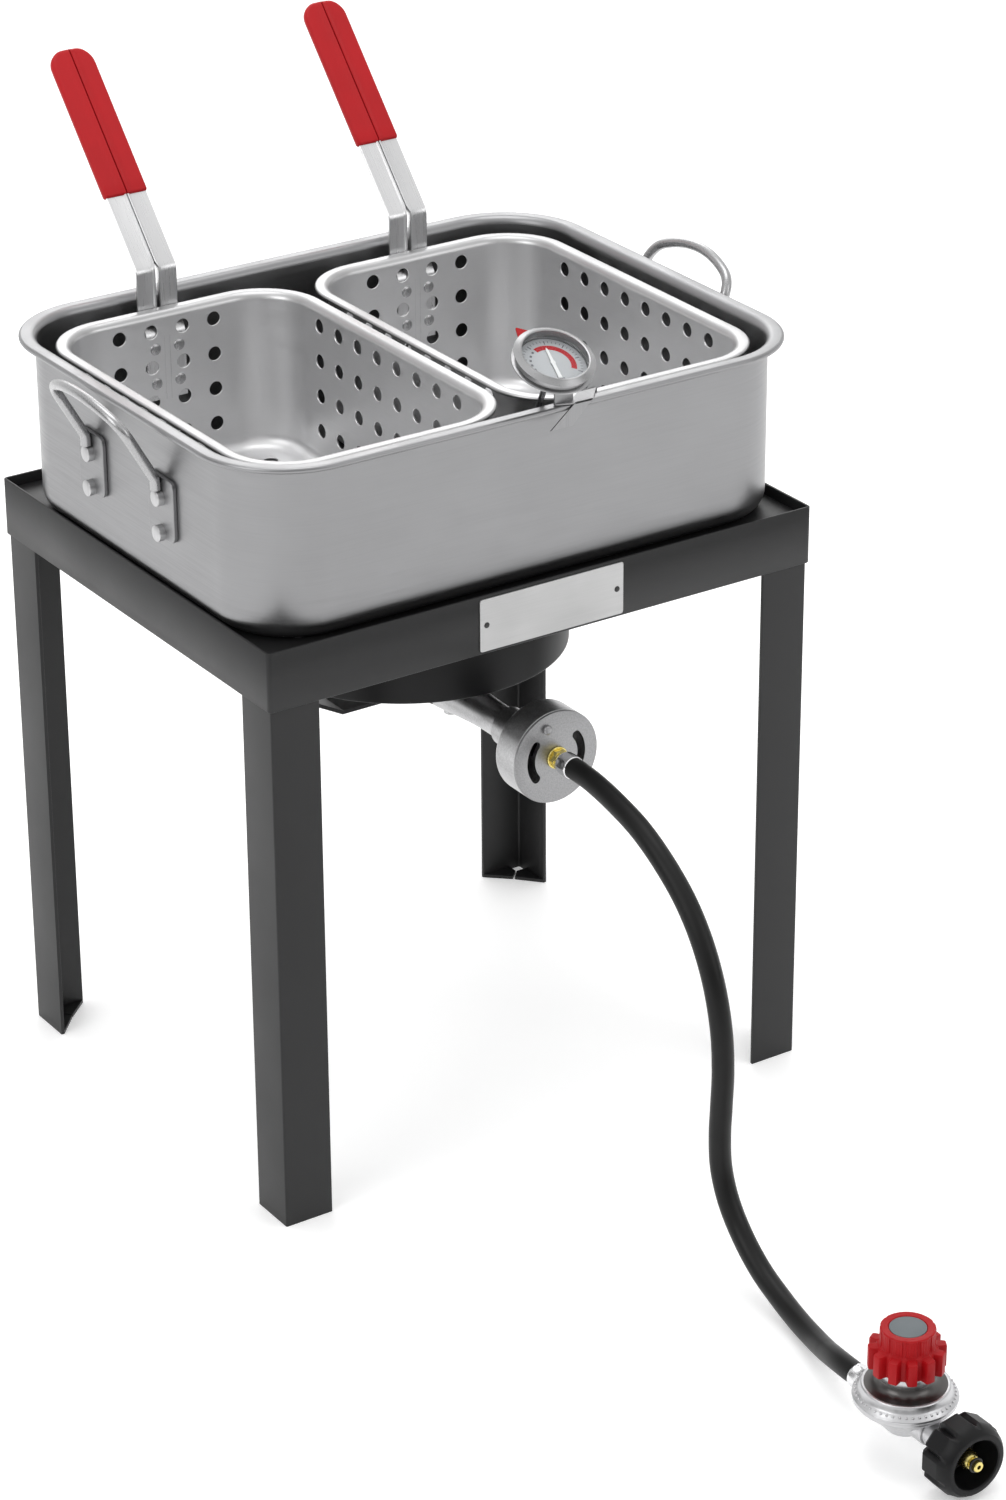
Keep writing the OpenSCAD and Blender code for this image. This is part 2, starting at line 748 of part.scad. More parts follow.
module drain_holes() {
    r = hole_d / 2;
    for (i = [-3.5:1:3.5], z = hole_rows) translate([0, i * hole_pitch, z]) rotate([0, 90, 0])
        cylinder(r = r, h = basket_l + 10, center = true, $fn = 32);
    for (i = [-1.5:1:1.5], z = hole_rows) translate([i * hole_pitch, 0, z]) rotate([90, 0, 0])
        cylinder(r = r, h = basket_w + 10, center = true, $fn = 32);
    for (i = [-2.5:1:2.5], j = [-4.5:1:4.5]) translate([i * hole_pitch, j * hole_pitch, -1])
        cylinder(r = r, h = 5, $fn = 32);
}

module basket(x) {
    color("#adaeb0") placed() difference() {
        translate([x, basket_y, basket_z]) difference() {
            tray(basket_l, basket_w, basket_r, basket_h, basket_edge, basket_t, basket_flare,
                basket_lip, basket_bead);
            drain_holes();
        }
        for (s = [-1, 1], z = basket_rivet_z) translate([x + s * basket_rivet_x, basket_back + 10, z])
            rotate([90, 0, 0]) cylinder(r = rivet_r, h = 20, $fn = 32);
    }
}

module basket_left() { basket(-basket_x); }
module basket_right() { basket(basket_x); }

// Outline made of its right-hand points, bottom to top, and their mirror images
function both_halves(points) = concat(
    points,
    [for (i = [len(points) - 1:-1:0]) [-points[i][0], points[i][1]]]
);

tang_start = 22;

// Point of the leaning part of a strip, y across it and z along it from the bend
function leaned(y, z) = [
    strip_y + y * cos(handle_lean) + z * sin(handle_lean),
    bend_z - y * sin(handle_lean) + z * cos(handle_lean)
];

// Bent outline of a side strip in the plane of Y and Z
module strip_outline() {
    foot_y = basket_back + strip_t / 2;
    h = strip_t / 2;
    m = h * tan(handle_lean / 2);
    polygon([
        [foot_y - h, strip_foot_z], [foot_y + h, strip_foot_z], [foot_y + h, strip_jog_z - 1],
        [strip_y + h, strip_jog_z + 11], [strip_y + h, bend_z - m], leaned(h, tang_start + 1),
        leaned(-h, tang_start + 1), [strip_y - h, bend_z + m],
        [strip_y - h, strip_jog_z + 12], [foot_y - h, strip_jog_z]
    ]);
}

module leaning(x) {
    translate([x, strip_y, bend_z]) rotate([-handle_lean, 0, 0]) children();
}

module basket_handle(x) {
    tang_l = handle_l - 4;
    color("#b9babc") placed() difference() {
        union() {
            for (s = [-1, 1]) translate([x + s * strip_x - strip_w / 2, 0, 0]) rotate([90, 0, 90])
                linear_extrude(strip_w) strip_outline();
            leaning(x) rotate([90, 0, 0]) linear_extrude(strip_t, center = true) polygon(both_halves([
                [strip_x + strip_w / 2, tang_start], [strip_x + strip_w / 2, handle_l - grip_l],
                [12, handle_l - grip_l], [12, tang_l]
            ]));
        }
        for (s = [-1, 1], z = basket_rivet_z) translate([x + s * basket_rivet_x, basket_back + 10, z])
            rotate([90, 0, 0]) cylinder(r = rivet_r, h = 20, $fn = 32);
    }
}

module basket_handle_left() { basket_handle(-basket_x); }
module basket_handle_right() { basket_handle(basket_x); }

module basket_grip(x) {
    low = handle_l - grip_l;
    color("#d21f2b") placed() leaning(x) difference() {
        rotate([90, 0, 0]) linear_extrude(grip_t, center = true) {
            translate([-grip_w / 2, low]) square([grip_w, grip_l - grip_r]);
            translate([-grip_w / 2 + grip_r, low]) square([grip_w - 2 * grip_r, grip_l]);
            for (s = [-1, 1]) translate([s * (grip_w / 2 - grip_r), handle_l - grip_r]) circle(grip_r, $fn = 48);
        }
        translate([-12, -strip_t / 2, low - 1]) cube([24, strip_t, grip_l - 3]);
    }
}

module basket_grip_left() { basket_grip(-basket_x); }
module basket_grip_right() { basket_grip(basket_x); }

module basket_rivets(x) {
    color("#c4c5c7") placed() for (s = [-1, 1], z = basket_rivet_z)
        translate([x + s * basket_rivet_x, basket_back + strip_t, z]) rotate([90, 0, 0])
            rivet(basket_t + strip_t, 1.2, 2.8, 4);
}

module basket_rivets_left() { basket_rivets(-basket_x); }
module basket_rivets_right() { basket_rivets(basket_x); }

/* ---- Thermometer ---- */

arm_x = 7.4;
arm_w = 14;
arm_y = -166.2;

// Bent strip clip: it lies on the rim, hooks down on both sides and carries the stem's collar
module thermometer_clip() {
    z = rim_z + gap;
    lip_y = -pan_w / 2 - pan_lip;
    color("#a8a9ab") {
        placed() {
            translate([0, 0, z]) linear_extrude(clip_t) polygon([
                [arm_x, arm_y - 1.6], [19.5, lip_y - 1.6], [33, lip_y - 1.6], [46, -157], [32, -157],
                [24, -164], [arm_x, arm_y + 0.4]
            ]);
            forwards([0, lip_y - 0.6, z - 14]) linear_extrude(clip_t)
                polygon([[1, 0], [17, 0], [33, 14 + clip_t], [19.5, 14 + clip_t]]);
            translate([32, -158, z - 17]) cube([14, clip_t, 17 + clip_t]);
            translate([arm_x, arm_y - clip_t, z]) cube([arm_w, clip_t, 21]);
        }
        on_dial() translate([0, 0, -collar_d - clip_t]) difference() {
            translate([-6, -7, 0]) cube([arm_x + arm_w + 6 - dial_x, 14, clip_t]);
            translate([0, 0, -1]) cylinder(r = stem_r + run, h = 4, $fn = 48);
        }
    }
}

module thermometer_stem() {
    color("#c0c1c3") on_dial() difference() {
        union() {
            translate([0, 0, -case_depth - stem_l]) cylinder(r = stem_r, h = stem_l, $fn = 48);
            translate([0, 0, -case_depth - 4]) cylinder(r = 4.2, h = 4, $fn = 6);
        }
        translate([0, 0, -case_depth - stem_l + 2]) cylinder(r = 1.3, h = stem_l, $fn = 32);
    }
}

flange_r = 26.5;

module thermometer_case() {
    d = case_depth;
    color("#b3b4b6") on_dial() difference() {
        rotate_extrude($fn = 96) polygon([
            [0, -d], [flange_r, -d], [flange_r, 0.8 - d], [bezel_r - 1, 1.6 - d], [bezel_r - 1, 3 - d],
            [bezel_r - 2, 3 - d], [bezel_r - 2, 1 - d], [0, 1 - d]
        ]);
        translate([0, 0, -d - 1]) cylinder(r = 1.3, h = 4, $fn = 32);
    }
}

module thermometer_bezel() {
    d = case_depth;
    color("#d0d1d3") on_dial() rotate_extrude($fn = 96) polygon([
        [bezel_r - 1, 1.7 - d], [bezel_r, 1.7 - d], [bezel_r, -bezel_bevel], [bezel_r - bezel_bevel, 0], [bezel_r - 2.6, 0],
        [bezel_r - 2.6, -0.8], [bezel_r - 1, -0.8]
    ]);
}

module thermometer_dial() {
    color("#e8e8ea") on_dial() translate([0, 0, 1 - case_depth]) tube(bezel_r - 2.1, 1.3, 0.6);
}

module thermometer_needle() {
    color("#f4f4f4") on_dial() translate([0, 0, 2.2 - case_depth]) {
        rotate([0, 0, 79]) translate([-11.5, -0.7, 0]) cube([23, 1.4, 0.5]);
        cylinder(r = 1.8, h = 0.5, $fn = 32);
    }
}

module thermometer_lens() {
    color("#dfe7ea") on_dial() translate([0, 0, -2]) cylinder(r = bezel_r - 1.1, h = 1.1, $fn = 96);
}

module thermometer_spindle() {
    color("#b08d3c") on_dial() {
        translate([0, 0, -case_depth - stem_l + 3]) cylinder(r = 1, h = 45, $fn = 24);
        translate([0, 0, -case_depth - stem_l + 47]) cylinder(r = 0.5, h = stem_l - 47 + 2.2, $fn = 24);
    }
}

// Set marker: a thin ring around the bezel with one pointer
module thermometer_marker() {
    r = bezel_r + 0.3;
    color("#d21f2b") on_dial() translate([0, 0, -5]) rotate([0, 0, 107]) {
        tube(r + 0.7, r, 1.2);
        linear_extrude(1.2) polygon([[r + 0.5, -3.6], [r + 5.5, 0], [r + 0.5, 3.6]]);
    }
}

top_band();
pan_ledge();
leg_front_left();
leg_front_right();
leg_back_left();
leg_back_right();
name_plate();
name_plate_rivets();
support_bar_front();
support_bar_back();
wind_guard();
burner_bracket();
bracket_rivets();
burner_head();
burner_cap();
burner_bolt();
burner_nut();
venturi_tube();
mixer_housing();
air_shutter();
shutter_knob();
orifice_fitting();
orifice_nut();
ferrule_burner_end();
hose();
ferrule_regulator_end();
regulator_outlet();
regulator_body();
regulator_diaphragm();
regulator_bonnet();
regulator_spring();
adjusting_screw();
regulator_knob();
knob_insert();
inlet_stem();
inlet_nipple();
inlet_seal();
tank_nut();
pan();
pan_handle_left();
pan_handle_right();
pan_rivets();
basket_left();
basket_right();
basket_handle_left();
basket_handle_right();
basket_grip_left();
basket_grip_right();
basket_rivets_left();
basket_rivets_right();
thermometer_clip();
thermometer_stem();
thermometer_case();
thermometer_bezel();
thermometer_dial();
thermometer_needle();
thermometer_lens();
thermometer_spindle();
thermometer_marker();
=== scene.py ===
import math

import bmesh
import bpy
from mathutils import Matrix, Vector


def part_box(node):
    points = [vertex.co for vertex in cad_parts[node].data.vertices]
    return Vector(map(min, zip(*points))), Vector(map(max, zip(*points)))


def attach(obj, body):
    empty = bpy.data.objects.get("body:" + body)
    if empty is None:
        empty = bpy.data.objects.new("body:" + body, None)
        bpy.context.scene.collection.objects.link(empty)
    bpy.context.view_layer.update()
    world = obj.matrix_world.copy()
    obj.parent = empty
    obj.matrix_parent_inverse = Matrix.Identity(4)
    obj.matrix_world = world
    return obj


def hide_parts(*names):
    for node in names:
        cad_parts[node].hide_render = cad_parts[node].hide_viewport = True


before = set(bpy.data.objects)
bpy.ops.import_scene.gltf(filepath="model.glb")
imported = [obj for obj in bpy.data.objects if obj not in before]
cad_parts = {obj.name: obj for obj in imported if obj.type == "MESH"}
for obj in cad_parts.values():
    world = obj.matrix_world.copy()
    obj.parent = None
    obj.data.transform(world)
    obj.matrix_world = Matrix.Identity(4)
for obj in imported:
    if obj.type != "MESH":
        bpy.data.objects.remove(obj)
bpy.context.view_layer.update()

MM = 0.001


# -------- places from the frame

def low(node):
    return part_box(node)[0]


def high(node):
    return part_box(node)[1]


def middle(node):
    a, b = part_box(node)
    return (a + b) / 2


def size(node):
    a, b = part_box(node)
    return b - a


STAND_Y = middle("top_band").y
GAS_Z = middle("mixer_housing").z
RIM_Z = high("pan").z
PAN_Z = low("pan").z


def new_object(name, data):
    obj = bpy.data.objects.new(name, data)
    bpy.context.scene.collection.objects.link(obj)
    return obj


# -------- camera

# Metres from the middle of the stand's foot, degrees, and millimetres
EYE = (-1.4323, -2.2801, 1.528)
YAW, PITCH, ROLL = 33.52, 25.91, -0.33
LENS, SENSOR = 105.34, 36


def make_camera():
    yaw, pitch, roll = math.radians(YAW), math.radians(PITCH), math.radians(ROLL)
    ahead = Vector((math.sin(yaw) * math.cos(pitch), math.cos(yaw) * math.cos(pitch), -math.sin(pitch)))
    level = Vector((math.cos(yaw), -math.sin(yaw), 0))
    above = level.cross(ahead)
    right = math.cos(roll) * level + math.sin(roll) * above
    up = right.cross(ahead)
    camera = new_object("camera", bpy.data.cameras.new("camera"))
    turn = Matrix((right, up, -ahead)).transposed().to_4x4()
    camera.matrix_world = Matrix.Translation((EYE[0], STAND_Y + EYE[1], EYE[2])) @ turn
    camera.data.sensor_width = SENSOR
    camera.data.lens = LENS
    camera.data.clip_end = 50
    bpy.context.scene.camera = camera


make_camera()


# -------- materials

M = {}


def new_material(name, base, metallic=0.0, roughness=0.5, specular=0.5):
    """Adds a material to M."""
    material = bpy.data.materials.new(name)
    material.use_nodes = True
    shader = material.node_tree.nodes["Principled BSDF"]
    shader.inputs["Base Color"].default_value = (*base, 1)
    shader.inputs["Metallic"].default_value = metallic
    shader.inputs["Roughness"].default_value = roughness
    shader.inputs["Specular IOR Level"].default_value = specular
    M[name] = material
    return material.node_tree, shader


def noise(tree, scale, detail, rough, stretch=(1, 1, 1)):
    """Noise in the object's own metres, scaled along each axis by stretch."""
    where = tree.nodes.new("ShaderNodeTexCoord")
    mapping = tree.nodes.new("ShaderNodeMapping")
    mapping.inputs["Scale"].default_value = stretch
    texture = tree.nodes.new("ShaderNodeTexNoise")
    texture.inputs["Scale"].default_value = scale
    texture.inputs["Detail"].default_value = detail
    texture.inputs["Roughness"].default_value = rough
    tree.links.new(where.outputs["Object"], mapping.inputs["Vector"])
    tree.links.new(mapping.outputs["Vector"], texture.inputs["Vector"])
    return texture.outputs["Fac"]


def spread(tree, value, low_out, high_out, low_in=0.3, high_in=0.7):
    """Number between low_out and high_out as value goes from low_in to high_in."""
    ranged = tree.nodes.new("ShaderNodeMapRange")
    ranged.inputs["From Min"].default_value = low_in
    ranged.inputs["From Max"].default_value = high_in
    ranged.inputs["To Min"].default_value = low_out
    ranged.inputs["To Max"].default_value = high_out
    tree.links.new(value, ranged.inputs["Value"])
    return ranged.outputs["Result"]


def tint(tree, value, dark, light):
    """Colour between dark and light as value goes from 0.3 to 0.7."""
    ramp = tree.nodes.new("ShaderNodeValToRGB")
    ramp.color_ramp.elements[0].color = (*dark, 1)
    ramp.color_ramp.elements[1].color = (*light, 1)
    ramp.color_ramp.elements[0].position = 0.3
    ramp.color_ramp.elements[1].position = 0.7
    tree.links.new(value, ramp.inputs["Fac"])
    return ramp.outputs["Color"]


def dress(tree, shader, gloss, tone, relief):
    """Varies gloss (noise, least, most), tone (noise, base, share) and relief (noise, strength, depth)."""
    tree.links.new(spread(tree, *gloss), shader.inputs["Roughness"])
    cloud, base, share = tone
    dark, light = [c * (1 - share) for c in base], [min(1, c * (1 + share)) for c in base]
    tree.links.new(tint(tree, cloud, dark, light), shader.inputs["Base Color"])
    height, strength, depth = relief
    bump = tree.nodes.new("ShaderNodeBump")
    bump.inputs["Strength"].default_value = strength
    bump.inputs["Distance"].default_value = depth * MM
    tree.links.new(height, bump.inputs["Height"])
    tree.links.new(bump.outputs["Normal"], shader.inputs["Normal"])


def brushed(name, base, roughness, along, grain=900, depth=0.02, variation=0.08):
    """Metal with fine lines along one or two axes, and broad, faint changes of tone."""
    tree, shader = new_material(name, base, 1.0, roughness)
    lines = noise(tree, grain, 3.0, 0.55, [0.02 if axis in along else 1.0 for axis in "xyz"])
    cloud = noise(tree, 14, 3.0, 0.5)
    gloss = (lines, roughness * 0.82, roughness * 1.22)
    dress(tree, shader, gloss, (cloud, base, variation), (lines, 0.35, depth))


def painted(name, base, roughness, speck=650, depth=0.03, wear=0.12, specular=0.5):
    """Sprayed paint: orange peel and a slow change of tone and gloss."""
    tree, shader = new_material(name, base, 0.0, roughness, specular)
    peel = noise(tree, speck, 2.0, 0.5)
    cloud = noise(tree, 9, 5.0, 0.6)
    gloss = (cloud, roughness * 0.88, roughness * 1.15)
    dress(tree, shader, gloss, (cloud, base, wear), (peel, 0.4, depth))


def cast(name, base, metallic, roughness, grain=420, depth=0.12):
    """Sand-cast metal: a pebbly skin with darker pits."""
    tree, shader = new_material(name, base, metallic, roughness)
    pebble = noise(tree, grain, 5.0, 0.65)
    gloss = (pebble, roughness * 0.85, roughness * 1.2)
    dress(tree, shader, gloss, (pebble, base, 0.18), (pebble, 0.5, depth))


def moulded(name, base, roughness, grain=1500, depth=0.02, variation=0.06, specular=0.5):
    """Plastic, rubber or print with a fine moulded texture."""
    tree, shader = new_material(name, base, 0.0, roughness, specular)
    fine = noise(tree, grain, 2.0, 0.5)
    cloud = noise(tree, 30, 3.0, 0.5)
    gloss = (cloud, roughness * 0.85, roughness * 1.15)
    dress(tree, shader, gloss, (cloud, base, variation), (fine, 0.35, depth))


def clear_glass(name):
    tree, shader = new_material(name, (0.97, 0.98, 0.98), 0.0, 0.03)
    shader.inputs["Transmission Weight"].default_value = 1.0
    shader.inputs["IOR"].default_value = 1.08
    tree.links.new(spread(tree, noise(tree, 60, 3.0, 0.5), 0.02, 0.07), shader.inputs["Roughness"])


def height_in(tree, space):
    """Height of each point of the object, or of each direction of the world."""
    where = tree.nodes.new("ShaderNodeTexCoord")
    split = tree.nodes.new("ShaderNodeSeparateXYZ")
    tree.links.new(where.outputs[space], split.inputs["Vector"])
    return split.outputs["Z"]


def paint_rim_shading(material, top, share):
    """Paints shading over a tray's rolled rim, which ends at height top: scales the metal's tone there by
    share, painted shade below 1 and painted light above 1.
    """
    tree = material.node_tree
    shader = tree.nodes["Principled BSDF"]
    colour = shader.inputs["Base Color"].links[0].from_socket
    mix = tree.nodes.new("ShaderNodeVectorMath")
    mix.operation = "SCALE"
    tree.links.new(colour, mix.inputs[0])
    factor = spread(tree, height_in(tree, "Object"), 1.0, share, top - 4 * MM, top - 2.5 * MM)
    tree.links.new(factor, mix.inputs["Scale"])
    tree.links.new(mix.outputs["Vector"], shader.inputs["Base Color"])


painted("band_paint", (0.013, 0.013, 0.0135), 0.42, specular=0.36)
painted("leg_paint", (0.013, 0.013, 0.0135), 0.42, specular=0.36)
painted("guard_paint", (0.004, 0.004, 0.0045), 0.42, specular=0.25)
brushed("label_metal", (0.46, 0.46, 0.46), 0.42, "x", 1400)
cast("burner_iron", (0.060, 0.056, 0.052), 0.6, 0.62)
cast("cast_aluminium", (0.50, 0.50, 0.505), 1.0, 0.34, 700, 0.04)
cast("shutter_sheet", (0.31, 0.31, 0.315), 1.0, 0.38, 900, 0.02)
brushed("pan_aluminium", (0.28, 0.28, 0.285), 0.36, "xy", 1100, 0.010, 0.03)
brushed("basket_aluminium", (0.76, 0.76, 0.765), 0.37, "xy", 1100, 0.010, 0.03)
brushed("bright_steel", (0.40, 0.40, 0.405), 0.28, "z", 1600, 0.006, 0.03)
brushed("strip_steel", (0.68, 0.68, 0.685), 0.30, "yz", 1500, 0.010, 0.04)
brushed("clip_steel", (0.32, 0.32, 0.325), 0.48, "yz", 1500, 0.010, 0.05)
moulded("grip_red", (0.42, 0.005, 0.009), 0.48, 1300, 0.02, specular=0.25)
moulded("knob_red", (0.37, 0.004, 0.007), 0.45, 1600, 0.015, specular=0.18)
moulded("insert_grey", (0.13, 0.15, 0.16), 0.55)
brushed("zinc", (0.56, 0.56, 0.57), 0.34, "z", 500, 0.008, 0.05)
brushed("rivet_satin", (0.50, 0.50, 0.505), 0.38, "z", 900, 0.006, 0.03)
moulded("rivet_dark", (0.02, 0.02, 0.02), 0.45)
brushed("ferrule_chrome", (0.82, 0.82, 0.83), 0.20, "z", 700, 0.006, 0.04)
brushed("cover_dark", (0.10, 0.095, 0.093), 0.30, "xy", 700, 0.008, 0.10)
brushed("brass_fitting", (0.74, 0.62, 0.22), 0.26, "x", 1200, 0.008, 0.08)
moulded("hose_rubber", (0.004, 0.004, 0.004), 0.42, 900, 0.03, 0.15, specular=0.27)
moulded("nut_plastic", (0.004, 0.004, 0.0045), 0.45, 1100, 0.03, 0.12, specular=0.22)
moulded("seal_rubber", (0.012, 0.012, 0.012), 0.5)
brushed("spring_wire", (0.45, 0.45, 0.46), 0.3, "z", 1500)
clear_glass("lens_glass")
brushed("bezel_steel", (0.37, 0.37, 0.375), 0.32, "z", 1600, 0.006, 0.03)
moulded("dial_paint", (0.55, 0.56, 0.58), 0.5, 1800, 0.005, 0.02)
moulded("needle_paint", (0.95, 0.95, 0.95), 0.4, 1800, 0.005, 0.02)
moulded("dial_ink", (0.18, 0.18, 0.20), 0.6, 1800, 0.005, 0.02)
moulded("dial_red", (0.50, 0.010, 0.018), 0.5, 1800, 0.005, 0.02)

# Painted shading on the rolled rims: the pan's rim is made 5% lighter as painted light, and the baskets' rims
# are darkened to 0.62 as painted shade in place of dark reflections.
paint_rim_shading(M["pan_aluminium"], RIM_Z, 1.05)
paint_rim_shading(M["basket_aluminium"], high("basket_left").z, 0.62)


# -------- mesh helpers

def add_bevel(obj, width, segments=2, harden=False):
    edge = obj.modifiers.new("bevel", "BEVEL")
    edge.width = width
    edge.segments = segments
    edge.limit_method = "ANGLE"
    edge.angle_limit = math.radians(40)
    edge.harden_normals = harden


def place(obj, material, body, node=None, angle=35, bevel=0.0, segments=2, replaces=()):
    """Gives a new piece its material, smooth shading, bevel and body, and hides the CAD nodes it stands for.
    """
    obj.data.materials.clear()
    obj.data.materials.append(M[material])
    for polygon in obj.data.polygons:
        polygon.use_smooth = True
        polygon.material_index = 0
    obj.data.set_sharp_from_angle(angle=math.radians(angle))
    if bevel:
        add_bevel(obj, bevel, segments, True)
    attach(obj, body)
    nodes = ([node] if node else []) + list(replaces)
    if nodes:
        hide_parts(*nodes)
    return obj


def face_outwards(data):
    shell = bmesh.new()
    shell.from_mesh(data)
    bmesh.ops.recalc_face_normals(shell, faces=shell.faces)
    shell.to_mesh(data)
    shell.free()


def mesh_object(name, points, faces, transform=None):
    data = bpy.data.meshes.new(name)
    data.from_pydata([tuple(p) for p in points], [], faces)
    if transform is not None:
        data.transform(transform)
    face_outwards(data)
    return new_object(name, data)


def clamp(value):
    return max(0.0, min(1.0, value))


def rectangle(x0, y0, x1, y1):
    return [(x0, y0), (x1, y0), (x1, y1), (x0, y1)]


def arc(cx, cy, radius, start, finish, steps):
    """Points along an arc, with its angles in degrees."""
    angles = [math.radians(start + (finish - start) * i / steps) for i in range(steps + 1)]
    return [(cx + radius * math.cos(a), cy + radius * math.sin(a)) for a in angles]


def hexagon(radius):
    return arc(0, 0, radius, 0, 300, 5)


def dome(radius, height, base, steps=6):
    """Outline of a rivet head from its rim to its middle."""
    angles = [math.pi / 2 * i / steps for i in range(steps + 1)]
    return [(radius * math.cos(a), base + height * math.sin(a)) for a in angles]


def rounded(points, radius, steps=4, closed=True):
    """Outline with each corner eased by a curve; radius is one number or one for each corner."""
    count = len(points)
    result = []
    for i, point in enumerate(points):
        r = radius[i] if isinstance(radius, (list, tuple)) else radius
        here = Vector(point)
        if r <= 0 or (not closed and i in (0, count - 1)):
            result.append(tuple(here))
            continue
        to_last = Vector(points[i - 1]) - here
        to_next = Vector(points[(i + 1) % count]) - here
        bend = to_last.angle(to_next)
        if bend > math.radians(178):
            result.append(tuple(here))
            continue
        cut = min(r / math.tan(bend / 2), to_last.length * 0.49, to_next.length * 0.49)
        start = here + to_last.normalized() * cut
        finish = here + to_next.normalized() * cut
        for s in range(steps + 1):
            t = s / steps
            result.append(tuple((1 - t) ** 2 * start + 2 * t * (1 - t) * here + t * t * finish))
    return result


def lathe(name, profile, transform, segments=96, shape=None):
    """Turns a closed outline of (radius, height) points about Z.

    Where the solid isn't round, shape(angle, radius, height) gives the radius. A point of the outline
    may hold more values, which shape gets too.
    """
    points, rings = [], []
    for radius, height, *more in profile:
        if radius < 1e-7:
            rings.append([len(points)] * segments)
            points.append((0, 0, height))
            continue
        rings.append(range(len(points), len(points) + segments))
        for s in range(segments):
            a = 2 * math.pi * s / segments
            r = shape(a, radius, height, *more) if shape else radius
            points.append((r * math.cos(a), r * math.sin(a), height))
    faces = []
    for i, here in enumerate(rings):
        after = rings[(i + 1) % len(rings)]
        for s in range(segments):
            n = (s + 1) % segments
            face = list(dict.fromkeys([here[s], here[n], after[n], after[s]]))
            if len(face) > 2:
                faces.append(face)
    return mesh_object(name, points, faces, transform)


def prism(name, outline, low_z, high_z, transform=None):
    """Straight solid over an outline of (x, y) points."""
    count = len(outline)
    points = [(x, y, low_z) for x, y in outline] + [(x, y, high_z) for x, y in outline]
    faces = [list(range(count))[::-1], list(range(count, 2 * count))]
    faces += [[i, (i + 1) % count, count + (i + 1) % count, count + i] for i in range(count)]
    return mesh_object(name, points, faces, transform)


def merged(name, copies):
    """One mesh from pairs of a mesh and its transform."""
    whole = bmesh.new()
    for mesh, transform in copies:
        copy = mesh.copy()
        copy.transform(transform)
        whole.from_mesh(copy)
        bpy.data.meshes.remove(copy)
    data = bpy.data.meshes.new(name)
    whole.to_mesh(data)
    whole.free()
    return data


def joined(name, objects):
    """One object from several, which are used up."""
    data = merged(name, [(obj.data, obj.matrix_world) for obj in objects])
    for obj in objects:
        bpy.data.objects.remove(obj)
    return new_object(name, data)


def many(name, base, transforms):
    """One object with a copy of base at each transform; base is used up."""
    data = merged(name, [(base.data, transform) for transform in transforms])
    face_outwards(data)
    bpy.data.objects.remove(base)
    return new_object(name, data)


def cut_away(obj, cutter):
    """Takes the cutter out of obj for good."""
    boolean = obj.modifiers.new("cut", "BOOLEAN")
    boolean.operation = "DIFFERENCE"
    boolean.object = cutter
    boolean.solver = "MANIFOLD"
    bpy.context.view_layer.update()
    shaped = bpy.data.meshes.new_from_object(obj.evaluated_get(bpy.context.evaluated_depsgraph_get()))
    obj.modifiers.clear()
    obj.data = shaped
    bpy.data.objects.remove(cutter)
    return obj


def loft(name, sections, transform):
    """Closed solid through rings of points, with flat ends."""
    m = len(sections[0])
    points = [p for section in sections for p in section]
    faces = [[i * m + j, (i + 1) * m + j, (i + 1) * m + (j + 1) % m, i * m + (j + 1) % m]
             for i in range(len(sections) - 1) for j in range(m)]
    faces.append(list(range(m)))
    faces.append([(len(sections) - 1) * m + j for j in range(m)])
    return mesh_object(name, points, faces, transform)


def rod(name, path, radius, sides, transform):
    """Round bar that follows a path of 3-D points, with flat ends."""
    rings = []
    for i, here in enumerate(path):
        ahead = (path[min(i + 1, len(path) - 1)] - path[max(i - 1, 0)]).normalized()
        if i == 0:
            normal = ahead.cross(Vector((1, 0, 0)))
        normal = (normal - ahead * normal.dot(ahead)).normalized()
        other = ahead.cross(normal)
        angles = [2 * math.pi * s / sides for s in range(sides)]
        rings.append([here + radius * (math.cos(a) * normal + math.sin(a) * other) for a in angles])
    return loft(name, rings, transform)


def around(name, length, width, radius, profile, transform, steps=14, loop=False):
    """Sweeps (distance from the corner's centre, height) points around a rounded rectangle."""
    x, y = length / 2 - radius, width / 2 - radius
    spine = []
    for cx, cy, start in ((x, y, 0), (-x, y, 90), (-x, -y, 180), (x, -y, 270)):
        for i in range(steps + 1):
            a = math.radians(start + 90 * i / steps)
            spine.append((cx, cy, math.cos(a), math.sin(a)))
    points = [(cx + d * c, cy + d * s, z) for cx, cy, c, s in spine for d, z in profile]
    n, m = len(spine), len(profile)
    rows = m if loop else m - 1
    faces = [[i * m + j, (i + 1) % n * m + j, (i + 1) % n * m + (j + 1) % m, i * m + (j + 1) % m]
             for i in range(n) for j in range(rows)]
    if not loop:
        faces.append([i * m for i in range(n)])
        faces.append([i * m + m - 1 for i in range(n)])
    return mesh_object(name, points, faces, transform)


# -------- places that pieces are built from

STAND = Matrix.Translation((0, STAND_Y, 0)) @ Matrix.Scale(MM, 4)
NONE = Matrix.Identity(4)
RIM_LOW, RIM_HIGH = 10, 14
DIAL_TILT = 25


def at(x, y, z):
    """Millimetres from the middle of the stand's foot."""
    return STAND @ Matrix.Translation((x, y, z))


def turned(axis, degrees):
    return Matrix.Rotation(math.radians(degrees), 4, axis)


FORWARDS = turned("X", 90)
BACKWARDS = turned("X", -90)
GAS = at(0, 0, GAS_Z / MM) @ FORWARDS
bonnet = (middle("knob_insert").x, middle("knob_insert").y - STAND_Y, low("regulator_bonnet").z)
REG = at(bonnet[0] / MM, bonnet[1] / MM, bonnet[2] / MM - RIM_LOW)
INLET = REG @ FORWARDS
OUTLET = REG @ BACKWARDS
DIAL = at(4, -173.5, RIM_Z / MM + 37.5) @ turned("X", DIAL_TILT)


# -------- hose

